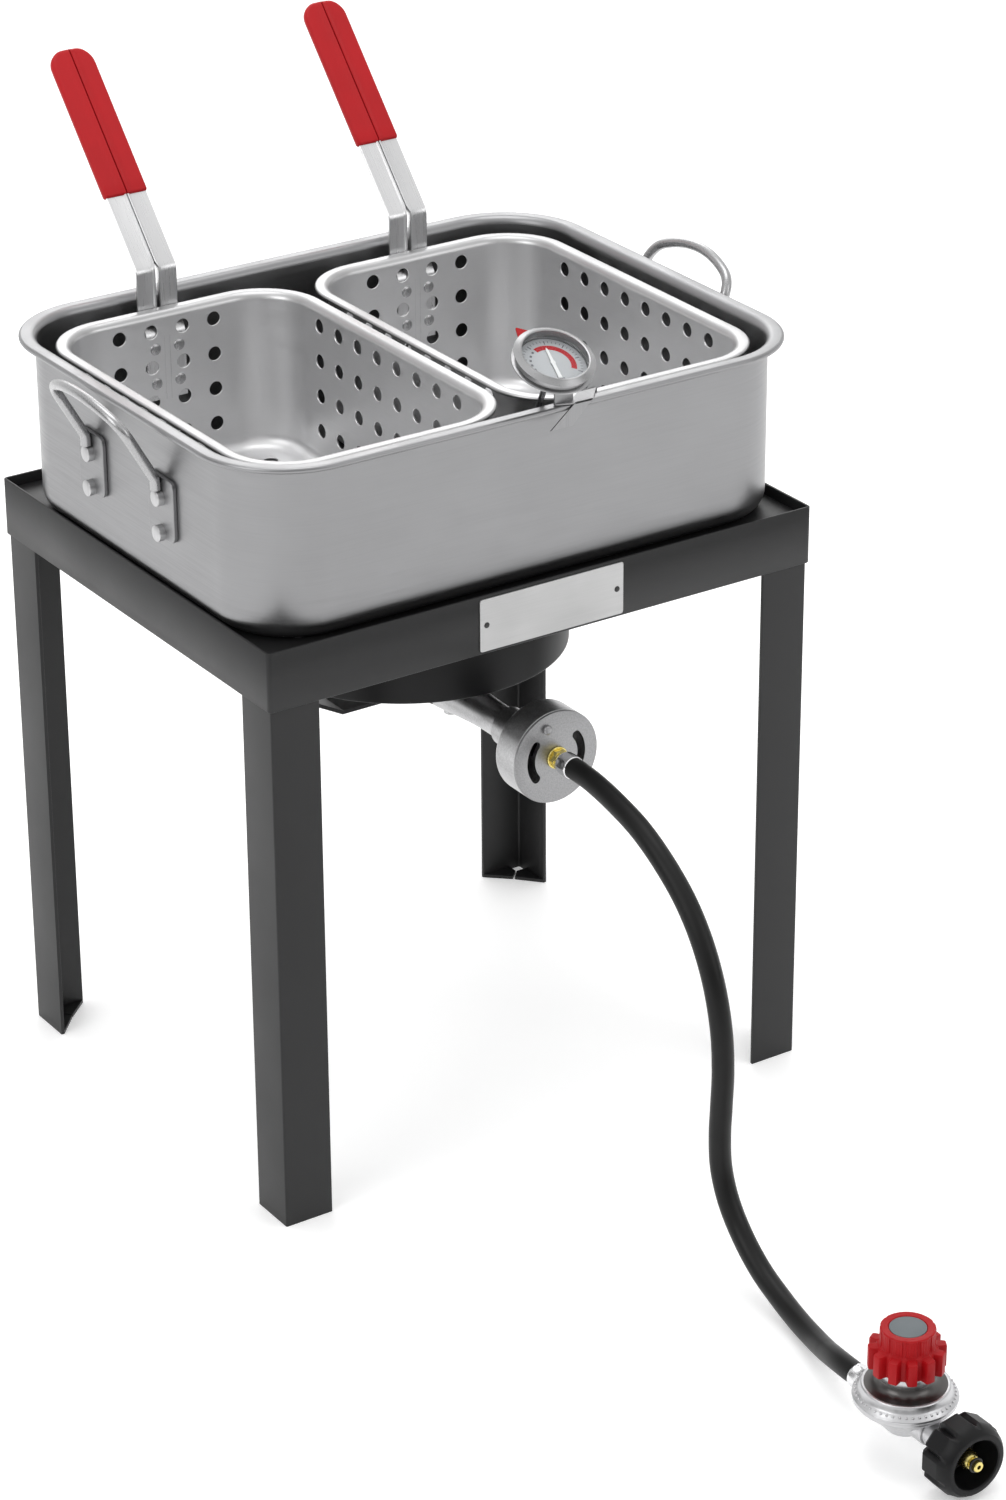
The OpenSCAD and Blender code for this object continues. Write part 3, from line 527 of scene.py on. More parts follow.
HOSE_D = 14.4
ROUTE = [
    (0, -200, 288), (0, -222.5, 286.8), (0, -249, 282), (0, -275, 274.5), (0, -300, 262),
    (0, -323, 245.5), (0, -341, 225), (0, -354.5, 200), (0, -363, 171), (0, -365.5, 143),
    (0, -364.5, 118), (0, -363.5, 95.5), (0, -365.5, 73.5), (0, -374, 53), (0, -389, 35),
    (-1, -410, 21), (-2.5, -434, 12.5), (-5.5, -457, 9), (-10.5, -480, 10.5),
    (-17.5, -501, 16), (-22.5, -515, 21), (-25, -524, 23.5), (-26.5, -533, 25),
    (-27, -542, 25.5),
]


def make_hose():
    data = bpy.data.curves.new("gas_hose", "CURVE")
    data.dimensions = "3D"
    data.bevel_depth = HOSE_D / 2 * MM
    data.bevel_resolution = 8
    data.use_fill_caps = True
    data.resolution_u = 12
    spline = data.splines.new("BEZIER")
    spline.bezier_points.add(len(ROUTE) - 1)
    route = [STAND @ Vector(p) for p in ROUTE]
    for i, (point, here) in enumerate(zip(spline.bezier_points, route)):
        before, after = route[max(i - 1, 0)], route[min(i + 1, len(route) - 1)]
        ahead = (after - before).normalized()
        if i in (0, len(route) - 1):
            ahead = Vector((0, -1, 0))
        point.co = here
        point.handle_left = here - ahead * (here - before).length / 3
        point.handle_right = here + ahead * (after - here).length / 3
    obj = new_object("gas_hose", data)
    data.materials.append(M["hose_rubber"])
    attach(obj, "stand")
    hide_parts("hose")
    return obj


hose = make_hose()


# -------- pan

PAN = dict(l=410, w=321, r=53, h=120.5, edge=13, t=1.5, flare=4, lip=10.5, bead=2)
BASKET = dict(l=175, w=276, r=37, h=112.2, edge=11, t=1.2, flare=4, lip=9, bead=1.6)
pan_z = PAN_Z / MM


def tray_profile(r, h, edge, t, flare, lip, bead):
    """From the outer bottom up the wall, over the rolled rim and down to the inner bottom."""
    touch = math.degrees(math.asin((bead - t) / bead))
    return (
        arc(r - edge, edge, edge, -90, 0, 10)
        + arc(r + flare, h - flare - t, flare, 180, 90, 7)
        + arc(r + lip - bead, h - bead, bead, 180 - touch, 450, 18)
        + arc(r + flare, h - flare - t, flare + t, 90, 180, 9)
        + arc(r - edge, edge, edge - t, 0, -90, 10)
    )


def tray(name, shape, transform, steps=20):
    rest = {k: v for k, v in shape.items() if k not in "lw"}
    return around(name, shape["l"], shape["w"], shape["r"], tray_profile(**rest), transform, steps)


def make_pan():
    place(tray("pan_shell", PAN, at(0, 0, pan_z)), "pan_aluminium", "pan", "pan", angle=50)


make_pan()

TAB = dict(w=32, h=42, t=3, y=45, low=pan_z + 40, r=6)
ROD_R = 3.5
RIVET_R = 2.5
LOOP = dict(lean=29.5, base=pan_z + 80, leg=33.5, corner=18, corner_a=65)
pan_rivet_z = (TAB["low"] + 3.7, TAB["low"] + 27.5)


def rivet(name, inner_h, grip, outer_h, head_r, flat=0.0):
    """Rivet along Z; the sheets lie from 0 to grip. The outer head is a dome on a cylinder of height flat."""
    head = dome(head_r, outer_h - flat, grip + flat, 8)
    if flat:
        head = [(head_r, grip)] + head
    profile = [(0, -inner_h)] + dome(head_r, -inner_h, 0)[::-1][1:] + [(RIVET_R, 0), (RIVET_R, grip)] + head
    return lathe(name, profile, NONE, 32)


def make_pan_handle(side):
    word = "right" if side > 0 else "left"
    wall = PAN["l"] / 2
    turn = turned("Y", LOOP["lean"] * side)
    foot = Matrix.Translation((side * (wall + 6), 0, LOOP["base"]))
    c, a = LOOP["corner"], LOOP["corner_a"]
    y = TAB["y"]
    top_r = (y - c + c * math.cos(math.radians(a))) / math.cos(math.radians(a))
    top_z = LOOP["leg"] + c * math.sin(math.radians(a)) - top_r * math.sin(math.radians(a))
    half = [(y, 4.0), (y, 12.0), (y, LOOP["leg"])] + arc(y - c, LOOP["leg"], c, 0, a, 10)[1:]
    bow = arc(0, top_z, top_r, a, 180 - a, 18)[1:-1]
    line = half + bow + [(-px, pz) for px, pz in half[::-1]]
    path = [foot @ turn @ Vector((0, py, pz)) for py, pz in line]
    start = [foot @ Vector((0, y, -6.5)), foot @ Vector((0, y, -2.5)), foot @ Vector((side * 0.45, y, 0.8))]
    finish = [Vector((p.x, -p.y, p.z)) for p in start[::-1]]
    loop = rod("pan_loop_" + word, start + path + finish, ROD_R, 20, STAND)
    tab_shape = rounded(rectangle(-TAB["w"] / 2, 0, TAB["w"] / 2, TAB["h"]), TAB["r"], 6)
    turn_out = Matrix(((0, 0, side, 0), (side, 0, 0, 0), (0, 1, 0, 0), (0, 0, 0, 1)))
    tabs = many("tabs", prism("tab", tab_shape, 0, TAB["t"]),
                [STAND @ Matrix.Translation((side * wall, s * y, TAB["low"])) @ turn_out for s in (-1, 1)])
    place(tabs, "pan_aluminium", "pan", angle=40, bevel=0.7 * MM, segments=3)
    tabs.name = "pan_tabs_" + word
    place(loop, "bright_steel", "pan", "pan_handle_" + word, angle=60)


make_pan_handle(-1)
make_pan_handle(1)


def make_pan_rivets():
    wall = PAN["l"] / 2 - PAN["t"]
    spots = [at(s * wall, y, z) @ turned("Y", 90 * s) for s in (-1, 1)
             for y in (-TAB["y"], TAB["y"]) for z in pan_rivet_z]
    obj = many("pan_rivet_heads", rivet("rivet", 1.2, PAN["t"] + TAB["t"], 5.0, 5.4, 3.8), spots)
    place(obj, "rivet_satin", "pan", "pan_rivets", angle=50)


make_pan_rivets()


# -------- baskets

BASKET_X = 99
BASKET_Y = -2
HOLE_R = 4.9
HOLE_PITCH = 24
HOLE_ROWS = (24.2, 49.2, 74.2, 99.2)
basket_z = pan_z + PAN["t"] + 0.3
basket_back = BASKET_Y + BASKET["w"] / 2
basket_rivet_z = (basket_z + 62.2, basket_z + 86.6)
BASKET_RIVET_X = 9


def hole_cutters():
    """Punches for all holes of a basket that stands on the origin, each with eased rims."""
    t, ease, reach = BASKET["t"], 0.28, 2.5
    profile = [(0, reach), (HOLE_R + ease, reach), (HOLE_R + ease, 0.01), (HOLE_R, -ease), (HOLE_R, ease - t),
               (HOLE_R + ease, -t - 0.01), (HOLE_R + ease, -t - reach), (0, -t - reach)]
    long_way = [(i - 3.5) * HOLE_PITCH for i in range(8)]
    short_way = [(i - 1.5) * HOLE_PITCH for i in range(4)]
    half_l, half_w = BASKET["l"] / 2, BASKET["w"] / 2
    spots = []
    for z in HOLE_ROWS:
        for s in (1, -1):
            spots += [Matrix.Translation((s * half_l, y, z)) @ turned("Y", s * 90) for y in long_way]
            spots += [Matrix.Translation((x, -s * half_w, z)) @ turned("X", s * 90) for x in short_way]
    for i in range(6):
        for j in range(10):
            x, y = (i - 2.5) * HOLE_PITCH, (j - 4.5) * HOLE_PITCH
            spots.append(Matrix.Translation((x, y, 0)) @ turned("X", 180))
    return many("cutters", lathe("punch", profile, NONE, 26), spots)


def make_baskets():
    shell = cut_away(tray("basket", BASKET, NONE, 18), hole_cutters())
    for word, x in (("left", -BASKET_X), ("right", BASKET_X)):
        obj = new_object("basket_shell_" + word, shell.data.copy())
        obj.data.transform(at(x, BASKET_Y, basket_z))
        place(obj, "basket_aluminium", "basket_" + word, "basket_" + word, angle=38)
    bpy.data.objects.remove(shell)


make_baskets()

STRIP = dict(t=2.2, w=14, x=8.2)
STRIP_Y = basket_back + BASKET["lip"] + 0.5 + STRIP["t"] / 2
BEND_Z = basket_z + 138
FOOT_Z = basket_z + 50
JOG_Z = basket_z + 96
LEAN = 42.2
HANDLE_L = 165
GRIP = dict(l=110, w=32.6, t=6, r=13)
GRIP_START = HANDLE_L - GRIP["l"]


def leaned(along):
    """Where a basket handle is, in y and z, some way above its bend."""
    a = math.radians(LEAN)
    return STRIP_Y + along * math.sin(a), BEND_Z + along * math.cos(a)


def half_strip(side, path, lip):
    """One half of a basket handle: a strip whose inner edge is folded up into a narrow lip."""
    t = STRIP["t"] / 2
    sections = []
    for i, point in enumerate(path):
        here = Vector(point)
        before = here - Vector(path[i - 1]) if i else Vector(path[1]) - here
        after = Vector(path[i + 1]) - here if i < len(path) - 1 else before
        mean = (before.normalized() + after.normalized()).normalized()
        out = Vector((mean.y, -mean.x)) / max(0.4, mean.dot(after.normalized()))
        along = (here.y - BEND_Z) / math.cos(math.radians(LEAN))
        inner = 1.2 - 1.1 * clamp(along / 5)
        outer = STRIP["x"] + STRIP["w"] / 2 if along < GRIP_START + 1 else 12.0
        front = [(inner, 0), (inner + 0.3, lip * 0.75), (inner + 0.8, lip), (inner + 1.5, lip * 0.8),
                 (inner + 2.2, 0.1), (inner + 2.6, 0), (outer - 0.5, 0), (outer, -0.4)]
        ring = []
        for x, up in front:
            p = here - out * (t + up)
            ring.append((side * x, p.x, p.y))
        for x, up in front[::-1]:
            p = here + out * (t + min(up, 0))
            ring.append((side * x, p.x, p.y))
        sections.append(ring)
    return sections


def make_basket_handle(word, x):
    foot_y = basket_back + STRIP["t"] / 2
    corners = [(foot_y, FOOT_Z), (foot_y, JOG_Z), (STRIP_Y, JOG_Z + 11.5), (STRIP_Y, BEND_Z)]
    corners += [leaned(s) for s in (5, 12, GRIP_START + 0.9, GRIP_START + 1.1, HANDLE_L - 6)]
    line = rounded(corners, 6, 5, closed=False)
    parts = [loft("strip", half_strip(side, line, 1.3), at(x, 0, 0)) for side in (-1, 1)]
    obj = joined("basket_handle_strips_" + word, parts)
    place(obj, "strip_steel", "basket_" + word, "basket_handle_" + word, angle=32)


def make_grip(word, x):
    """Sleeve with a rounded end and, down its middle, a seam between two low ridges."""
    low_s, high_s = GRIP_START, HANDLE_L
    half, thick, r = GRIP["w"] / 2, GRIP["t"] / 2, GRIP["r"]
    roll, seam, ridge = 2.4, 1.3, 0.45
    middle_points = [(0.0, -seam), (0.28, -seam), (0.5, ridge), (1.9, ridge), (2.5, 0.0)]
    side_points = [0.3, 0.55, 0.75, 0.86, 0.92, 0.96, 0.99, 1.0]
    swell = ((0, 0.15), (0.25, 0.6), (0.8, 0.9), (1.8, 1.0))
    along = [(low_s + s, 1.6 * (1 - k) ** 0.5, k) for s, k in swell]
    along += [(low_s + 1.8 + (high_s - r - low_s - 1.8) * i / 12, 0, 1.0) for i in range(1, 13)]
    for i in range(1, 13):
        a = math.radians(90 * i / 12)
        s = high_s - r + r * math.sin(a)
        edge = high_s - s
        k = 1 if edge > roll else (max(0.0, 1 - ((roll - edge) / roll) ** 2)) ** 0.5
        along.append((s, r - r * math.cos(a), max(0.12, k)))
    sections = []
    for s, inset, k in along:
        w = half - inset
        right = [(px, lift) for px, lift in middle_points]
        right += [(2.5 + (w - 2.5) * f, 0.0) for f in side_points]
        front = []
        for px, lift in [(-px, lift) for px, lift in right[:0:-1]] + right:
            d = w - abs(px)
            bulge = thick - roll + (roll ** 2 - (roll - max(0.0, min(d, roll))) ** 2) ** 0.5
            end = min(s, high_s - 1.6) if abs(px) < 0.3 else s
            front.append((px, -(bulge + lift) * k, end))
        sections.append(front + [(px, -py, pz) for px, py, pz in front[::-1]])
    obj = loft("grip_" + word, sections, at(x, STRIP_Y, BEND_Z) @ turned("X", -LEAN))
    place(obj, "grip_red", "basket_" + word, "basket_grip_" + word, angle=42)


def make_basket_rivets(word, x):
    spots = [at(x + s * BASKET_RIVET_X, basket_back - BASKET["t"], z) @ BACKWARDS
             for s in (-1, 1) for z in basket_rivet_z]
    obj = many("basket_rivet_heads_" + word, rivet("rivet", 1.2, BASKET["t"] + STRIP["t"], 2.8, 4.0), spots)
    place(obj, "bright_steel", "basket_" + word, "basket_rivets_" + word, angle=50)


for word, x in (("left", -BASKET_X), ("right", BASKET_X)):
    make_basket_handle(word, x)
    make_grip(word, x)
    make_basket_rivets(word, x)


# -------- stand

STAND_W, STAND_D = [v / MM for v in size("top_band").xy]
STAND_H = high("top_band").z / MM
BAND_H = size("top_band").z / MM
SHEET = 2
FLANGE = 35
LEG_T = 2.5
LEG_TOP = high("leg_front_left").z / MM


def make_band():
    z0, z1 = STAND_H - BAND_H, STAND_H
    e = 0.45
    section = [(3 - e, z0), (3, z0 + e), (3, z1 - e), (3 - e, z1), (3 - SHEET + e, z1), (3 - SHEET, z1 - e),
               (3 - SHEET, z0 + e), (3 - SHEET + e, z0)]
    obj = around("stand_band", STAND_W, STAND_D, 3, section, STAND, 6, loop=True)
    place(obj, "band_paint", "stand", "top_band", angle=50)


def make_leg(word, sx, sy):
    r = 1.6
    outline = rounded([(0, 0), (FLANGE, 0), (FLANGE, LEG_T), (LEG_T, LEG_T), (LEG_T, FLANGE), (0, FLANGE)],
                      [1.4, 0.4, 0.4, r, 0.4, 0.4], 5)
    corner = Matrix.Translation((sx * (STAND_W / 2 - SHEET), sy * (STAND_D / 2 - SHEET), 0))
    flip = Matrix.Diagonal((-sx, -sy, 1, 1))
    angle = prism("angle", outline, 0, LEG_TOP, STAND @ corner @ flip)
    gap, notch, mitre = 1.2, LEG_T + 9, FLANGE / 2 + 1
    tip = FLANGE - 0.2
    foot = [(notch, 0.3), (notch, notch - gap / 2), (mitre, mitre - gap), (tip, LEG_T), (tip, 0.3)]
    other = [(y, x) for x, y in foot]
    feet = [prism("foot", shape, 0, LEG_T, STAND @ corner @ flip) for shape in (foot, other)]
    obj = joined("stand_leg_" + word, [angle] + feet)
    face_outwards(obj.data)
    place(obj, "leg_paint", "stand", "leg_" + word, angle=40)


make_band()
for end, sy in (("front", -1), ("back", 1)):
    make_leg(end + "_left", -1, sy)
    make_leg(end + "_right", 1, sy)

LABEL = dict(w=110, h=36, t=1, x=1.5, r=2)
LABEL_AT = at(LABEL["x"], -STAND_D / 2, STAND_H - BAND_H / 2) @ FORWARDS


def make_label():
    w, h = LABEL["w"] / 2, LABEL["h"] / 2
    obj = prism("label_plate", rounded(rectangle(-w, -h, w, h), LABEL["r"], 5), 0, LABEL["t"], LABEL_AT)
    place(obj, "label_metal", "stand", "name_plate", bevel=0.25 * MM)
    head = lathe("head", [(0, 0), (2.0, 0)] + dome(2.0, 0.8, LABEL["t"]), NONE, 24)
    spots = [LABEL_AT @ Matrix.Translation((s * (w - 5), 0, 0)) for s in (-1, 1)]
    heads = many("label_rivet_heads", head, spots)
    place(heads, "rivet_dark", "stand", "name_plate_rivets", angle=50)


make_label()


# -------- burner

GUARD = dict(r=110, t=1.5, low=low("wind_guard").z / MM, high=high("wind_guard").z / MM)


def make_guard():
    r, t, z0, z1 = GUARD["r"], GUARD["t"], GUARD["low"], GUARD["high"]
    roll = 1.2
    profile = [(r - 0.3, z1), (r, z1 - 0.3), (r, z0 + 3)] + arc(r - roll, z0 + roll, roll, 0, -180, 8)
    profile += [(r - t - 0.9, z0 + 2.6), (r - t, z0 + 3.2), (r - t, z1)]
    obj = lathe("wind_guard_drum", profile, at(0, 0, 0), 144)
    place(obj, "guard_paint", "stand", "wind_guard", angle=50)


make_guard()

CUP = dict(r=32, back=155, front=178)
SLOT = dict(inner=16.5, outer=22.5, half=37)


def kidney(inner, outer, half, steps=12):
    """Outline of a curved slot with round ends, on the +X side."""
    m, w = (inner + outer) / 2, (outer - inner) / 2
    x, y = m * math.cos(math.radians(half)), m * math.sin(math.radians(half))
    outside = arc(0, 0, outer, -half, half, 2 * steps)
    upper = arc(x, y, w, half, half + 180, 8)
    inside = arc(0, 0, inner, half, -half, 2 * steps)
    lower = arc(x, -y, w, 180 - half, 360 - half, 8)
    return outside + upper[1:] + inside[1:] + lower[1:-1]


def cut_slots(obj, low_z, high_z):
    """Cuts the two air slots and puts the piece in its place on the gas line."""
    cut_away(obj, many("slots", prism("slot", kidney(**SLOT), low_z, high_z), [NONE, turned("Z", 180)]))
    obj.data.transform(GAS)


def make_mixer():
    back, front, r = CUP["back"], CUP["front"], CUP["r"]
    wall = 1.5
    profile = [(9, back), (r - 4, back)] + arc(r - 4, back + 4, 4, -90, 0, 8)
    profile += [(r, front - 0.4), (r - 0.4, front), (6, front), (6, front - wall), (r - wall, front - wall),
                (r - wall, back + 4), (r - 4, back + wall), (9, back + wall)]
    cup = lathe("mixer_cup", profile, NONE, 96)
    cut_slots(cup, front - wall - 1, front + 1)
    place(cup, "cast_aluminium", "stand", "mixer_housing", angle=40)
    tube = [(9, 44), (12, 44), (12, 47), (15, 52), (13.2, 70), (11.6, 90), (11, 104), (11, 121),
            (11.6, 122.6), (13.5, 124), (13.5, back), (9, back)]
    venturi = lathe("mixing_tube", tube, GAS, 72)
    boss = lathe("boss", [(0, -2.5), (5.0, -2.5), (5.5, -2.0), (5.5, 2.0), (5.0, 2.5), (0, 2.5)],
                 GAS @ Matrix.Translation((0, -14, 56)) @ turned("X", 90), 32)
    place(joined("mixing_tube_cast", [venturi, boss]), "cast_aluminium", "stand", "venturi_tube", angle=40)


make_mixer()


def make_shutter():
    back, front, r = CUP["front"] + 0.2, 180.0, CUP["r"]
    e = 0.5
    profile = [(6.05, back), (r, back), (r, front - e), (r - e * 0.3, front - e * 0.3), (r - e, front),
               (6.05, front)]
    disc = lathe("shutter_disc", profile, NONE, 112)
    cut_slots(disc, back - 1, front + 1)
    place(disc, "shutter_sheet", "shutter", "air_shutter", angle=35, bevel=0.2 * MM)
    knob = [(0, back), (1.5, back), (1.5, front), (3.0, front), (3.2, front + 0.3), (3.2, front + 2.3),
            (3.0, front + 2.9), (2.2, front + 3.4), (1.4, front + 3.5), (0, front + 3.5)]
    button = lathe("shutter_button", knob, GAS @ Matrix.Translation((-8, 22, 0)), 36)
    place(button, "shutter_sheet", "shutter", "shutter_knob", angle=45)


make_shutter()


def make_orifice():
    tube = [(0.6, 166), (5.6, 166), (6, 166.6), (6, 187.6), (5.6, 188), (3, 188), (3, 170), (0.6, 170)]
    washer = [(6, 180.2), (7.3, 180.2), (7.6, 180.5), (7.6, 181.5), (7.3, 181.8), (6, 181.8)]
    nut = prism("hex", rounded(hexagon(6.9), 0.5, 3), 182, 186, GAS)
    obj = joined("orifice_brass", [lathe("tube", tube, GAS, 48), lathe("washer", washer, GAS, 48), nut])
    place(obj, "brass_fitting", "stand", "orifice_fitting", angle=30, bevel=0.2 * MM)


make_orifice()


def make_ferrule(name, transform, length, node):
    """Crimped sleeve: a plain neck, then eight pressed flats that fade out towards its rear rim."""
    def crimp(angle, radius, height):
        fade = clamp((height - 2.4) / 1.2) * clamp((length - 1.4 - height) / 1.2)
        sector = (angle % (math.pi / 4)) - math.pi / 8
        flat = math.cos(math.pi / 8) / math.cos(sector)
        return radius * (1 - fade * (1 - flat) * 0.9)
    profile = [(3, 0), (6.1, 0), (6.4, 0.3), (6.4, 1.5), (7.2, 2.0), (7.75, 2.4), (7.9, 3.0), (7.9, 4.0),
               (7.9, length * 0.5), (7.9, length - 3), (7.9, length - 1.6), (7.75, length - 0.6),
               (7.3, length), (3, length)]
    place(lathe(name, profile, transform, 96, crimp), "ferrule_chrome", "stand", node, angle=28)


make_ferrule("burner_crimp", GAS @ Matrix.Translation((0, 0, 188)), 12, "ferrule_burner_end")
make_ferrule("regulator_crimp", OUTLET @ Matrix.Translation((0, 0, 33)), 14, "ferrule_regulator_end")


# -------- regulator

DISC_R = 32.2
PLATE_HIGH = 20.9
KNOB_BASE = 32.5


def make_bonnet():
    r = DISC_R
    rim = ([(24, RIM_LOW + 2), (r - 1, RIM_LOW + 2), (r - 1, RIM_LOW), (r - 0.6, RIM_LOW - 0.1)]
           + arc(r - 1.4, RIM_HIGH - 1.6, 1.4, -50, 70, 8)
           + [(30.4, RIM_HIGH + 1.2), (29.0, RIM_HIGH + 2.0), (28.2, RIM_HIGH + 2.9)]
           + arc(26.2, PLATE_HIGH - 1.2, 1.2, 8, 90, 6) + [(25.2, PLATE_HIGH - 0.1), (24, RIM_HIGH)])
    p = PLATE_HIGH
    dish = [(12, RIM_HIGH), (25.3, RIM_HIGH), (25.3, p - 0.1), (21.5, p), (19.2, p + 0.8), (17.6, p + 2.4),
            (16.6, p + 4.4), (16.2, p + 6), (12, p + 6)]
    place(lathe("regulator_dish", dish, REG, 144), "cover_dark", "stand", angle=40)
    k = KNOB_BASE
    neck = [(12, p + 5), (16.2, p + 5), (16.4, p + 5.4), (16.4, k - 0.6), (16, k), (16, k + 4), (12, k + 4)]
    bead = lathe("bead", [(0, -0.9)] + arc(0, 0, 0.9, -70, 70, 6) + [(0, 0.9)], NONE, 12)
    spots = [REG @ Matrix.Translation((x, y, RIM_HIGH + 1.25)) for x, y in arc(0, 0, 30.1, 0, 352.5, 47)]
    parts = [lathe("rim", rim, REG, 144), lathe("neck", neck, REG, 96), many("beads", bead, spots)]
    place(joined("regulator_cover", parts), "zinc", "stand", "regulator_bonnet", angle=40)


def make_regulator_body():
    r = DISC_R - 1
    bowl = [(0, -12), (9.5, -12), (11, -11), (17, -4), (27, 6), (30.2, 8.0), (r - 0.1, 9.2), (r, 10),
            (r, RIM_LOW + 1), (20, RIM_LOW + 1), (20, 6), (0, 6)]
    outlet = [(3, 2), (8.0, 2), (8.6, 2.5), (8.6, 23.4), (8.0, 24), (3, 24)]
    inlet = [(3, 2), (9.0, 2), (9.5, 2.5), (9.5, 25.2), (8.9, 26), (3, 26)]
    parts = [lathe("bowl", bowl, REG, 112), lathe("outlet_neck", outlet, OUTLET, 48)]
    parts.append(lathe("inlet_neck", inlet, INLET, 48))
    place(joined("regulator_casting", parts), "zinc", "stand", "regulator_body", angle=35)


make_bonnet()
make_regulator_body()

KNOB = dict(r=23.5, skirt=15, cone=2.4, cap=10, cap_r=16.8, lobes=12, hollow=5.0, insert=11.3, ribs=60)


def knob_hollow(angle):
    """Depth of the hollows round the skirt: 0 on a lobe's flat crown, the full depth between two lobes."""
    wave = (1 - math.cos(angle * KNOB["lobes"])) / 2
    t = clamp((wave - 0.36) / 0.52)
    return KNOB["hollow"] * t * t * (3 - 2 * t)


def make_knob():
    base, top = KNOB_BASE, KNOB_BASE + KNOB["skirt"]
    r, cap_r, insert = KNOB["r"], KNOB["cap_r"], KNOB["insert"]
    cap_low, crown = top + KNOB["cone"], top + KNOB["cone"] + KNOB["cap"]
    # Largest radius, height, how far the ring stays inside the lobes, and whether it has ribs
    rings = [(17.5, base, 0.9, 0), (r - 0.8, base, 0.8, 0), (r - 0.2, base + 0.3, 0.2, 0),
             (r, base + 0.8, 0, 0), (r, top - 0.9, 0, 0), (r - 0.25, top - 0.3, 0.25, 0),
             (r - 0.9, top, 0.9, 0), (18.0, top + 0.15, 1.0, 0), (17.2, top + 0.6, 1.6, 0)]
    rings += [(radius, z, 2.2, ribs) for radius, z, ribs in (
        (cap_r, cap_low - 1, 0), (cap_r, cap_low, 1), (cap_r, crown - 1.8, 1), (cap_r, crown - 1.2, 0),
        (cap_r - 0.1, crown - 0.5, 0), (cap_r - 0.8, crown, 0), (insert + 1.2, crown, 0),
        (insert + 0.6, crown - 0.15, 0), (insert, crown - 1.0, 0), (5.05, crown - 1.0, 0),
        (5.05, top - 3, 0), (17.5, top - 3, 0))]

    def lobed(angle, radius, height, inset, ribs):
        rib = ribs * 0.14 * (1 + math.cos(angle * KNOB["ribs"]))
        return min(radius, r - inset - knob_hollow(angle)) - rib

    place(lathe("knob_lobed", rings, REG, 288, lobed), "knob_red", "knob", "regulator_knob", angle=32)
    disc = [(0, crown - 1.0), (insert - 0.1, crown - 1.0), (insert - 0.05, crown - 0.35),
            (insert - 0.3, crown - 0.2), (0, crown - 0.2)]
    place(lathe("knob_disc", disc, REG, 72), "insert_grey", "knob", "knob_insert", angle=35)


make_knob()


def make_tank_nut():
    back, front, r = 42, 68, 25.3

    def flute(angle, radius, height):
        """Nine broad lobes with V-shaped valleys that run out before the front ring."""
        if radius < 18.9 or height >= front - 1:
            return radius
        sector = (angle * 9 / (2 * math.pi)) % 1.0
        d = min(sector, 1 - sector)
        valley = max(0.0, 1 - d / 0.17)
        fade = clamp((front - 5.0 - height) / 5.0)
        flat = math.cos(math.pi / 9) / math.cos((sector - 0.5) * 2 * math.pi / 9) - 1
        return radius * (1 + flat * min(1.0, fade + 0.15) - 0.16 * valley * fade)

    profile = [(8.05, back), (19, back), (21, back + 0.4), (r - 0.7, back + 3.6), (r, back + 4.6),
               (r, back + 8), (r, back + 12), (r, front - 9), (r - 0.3, front - 8), (r - 1.5, front - 6),
               (22.6, front - 3.0), (21.2, front - 1.2), (20.5, front - 0.4), (19.6, front), (17.2, front),
               (16.5, front - 0.7), (16.5, back + 3.6), (15.9, back + 3), (8.05, back + 3)]
    nut = lathe("tank_nut_lobed", profile, INLET, 216, flute)
    place(nut, "nut_plastic", "tank_nut", "tank_nut", angle=24)


make_tank_nut()


def make_inlet():
    stem = [(3, 26), (8, 26), (8, 45.2), (13, 45.2), (13, 47.2), (3, 47.2)]
    place(lathe("inlet_sleeve", stem, INLET, 48), "zinc", "stand", "inlet_stem", angle=35, bevel=0.2 * MM)
    nipple = [(1.4, 47.2), (6, 47.2), (6, 60.5), (5.7, 61.8), (5.0, 63.2), (4.3, 64), (3.4, 64.1),
              (3.4, 69.5), (3.0, 70), (1.4, 70)]
    place(lathe("inlet_brass", nipple, INLET, 48), "brass_fitting", "stand", "inlet_nipple", angle=35)
    ring = arc(4.2, 67, 0.8, 0, 330, 11)
    place(lathe("inlet_ring", ring, INLET, 48), "seal_rubber", "stand", "inlet_seal", angle=80)


make_inlet()


def make_outlet():
    tube = [(3, 24), (5.7, 24), (6, 24.3), (6, 33), (3, 33)]
    parts = [lathe("tube", tube, OUTLET, 48), prism("hex", rounded(hexagon(7.6), 0.5, 3), 27, 31.5, OUTLET)]
    place(joined("outlet_union", parts), "zinc", "stand", "regulator_outlet", angle=30, bevel=0.2 * MM)


make_outlet()


# -------- thermometer

CASE_D = 10
BEZEL_R = 24
FLANGE_R = 26.5


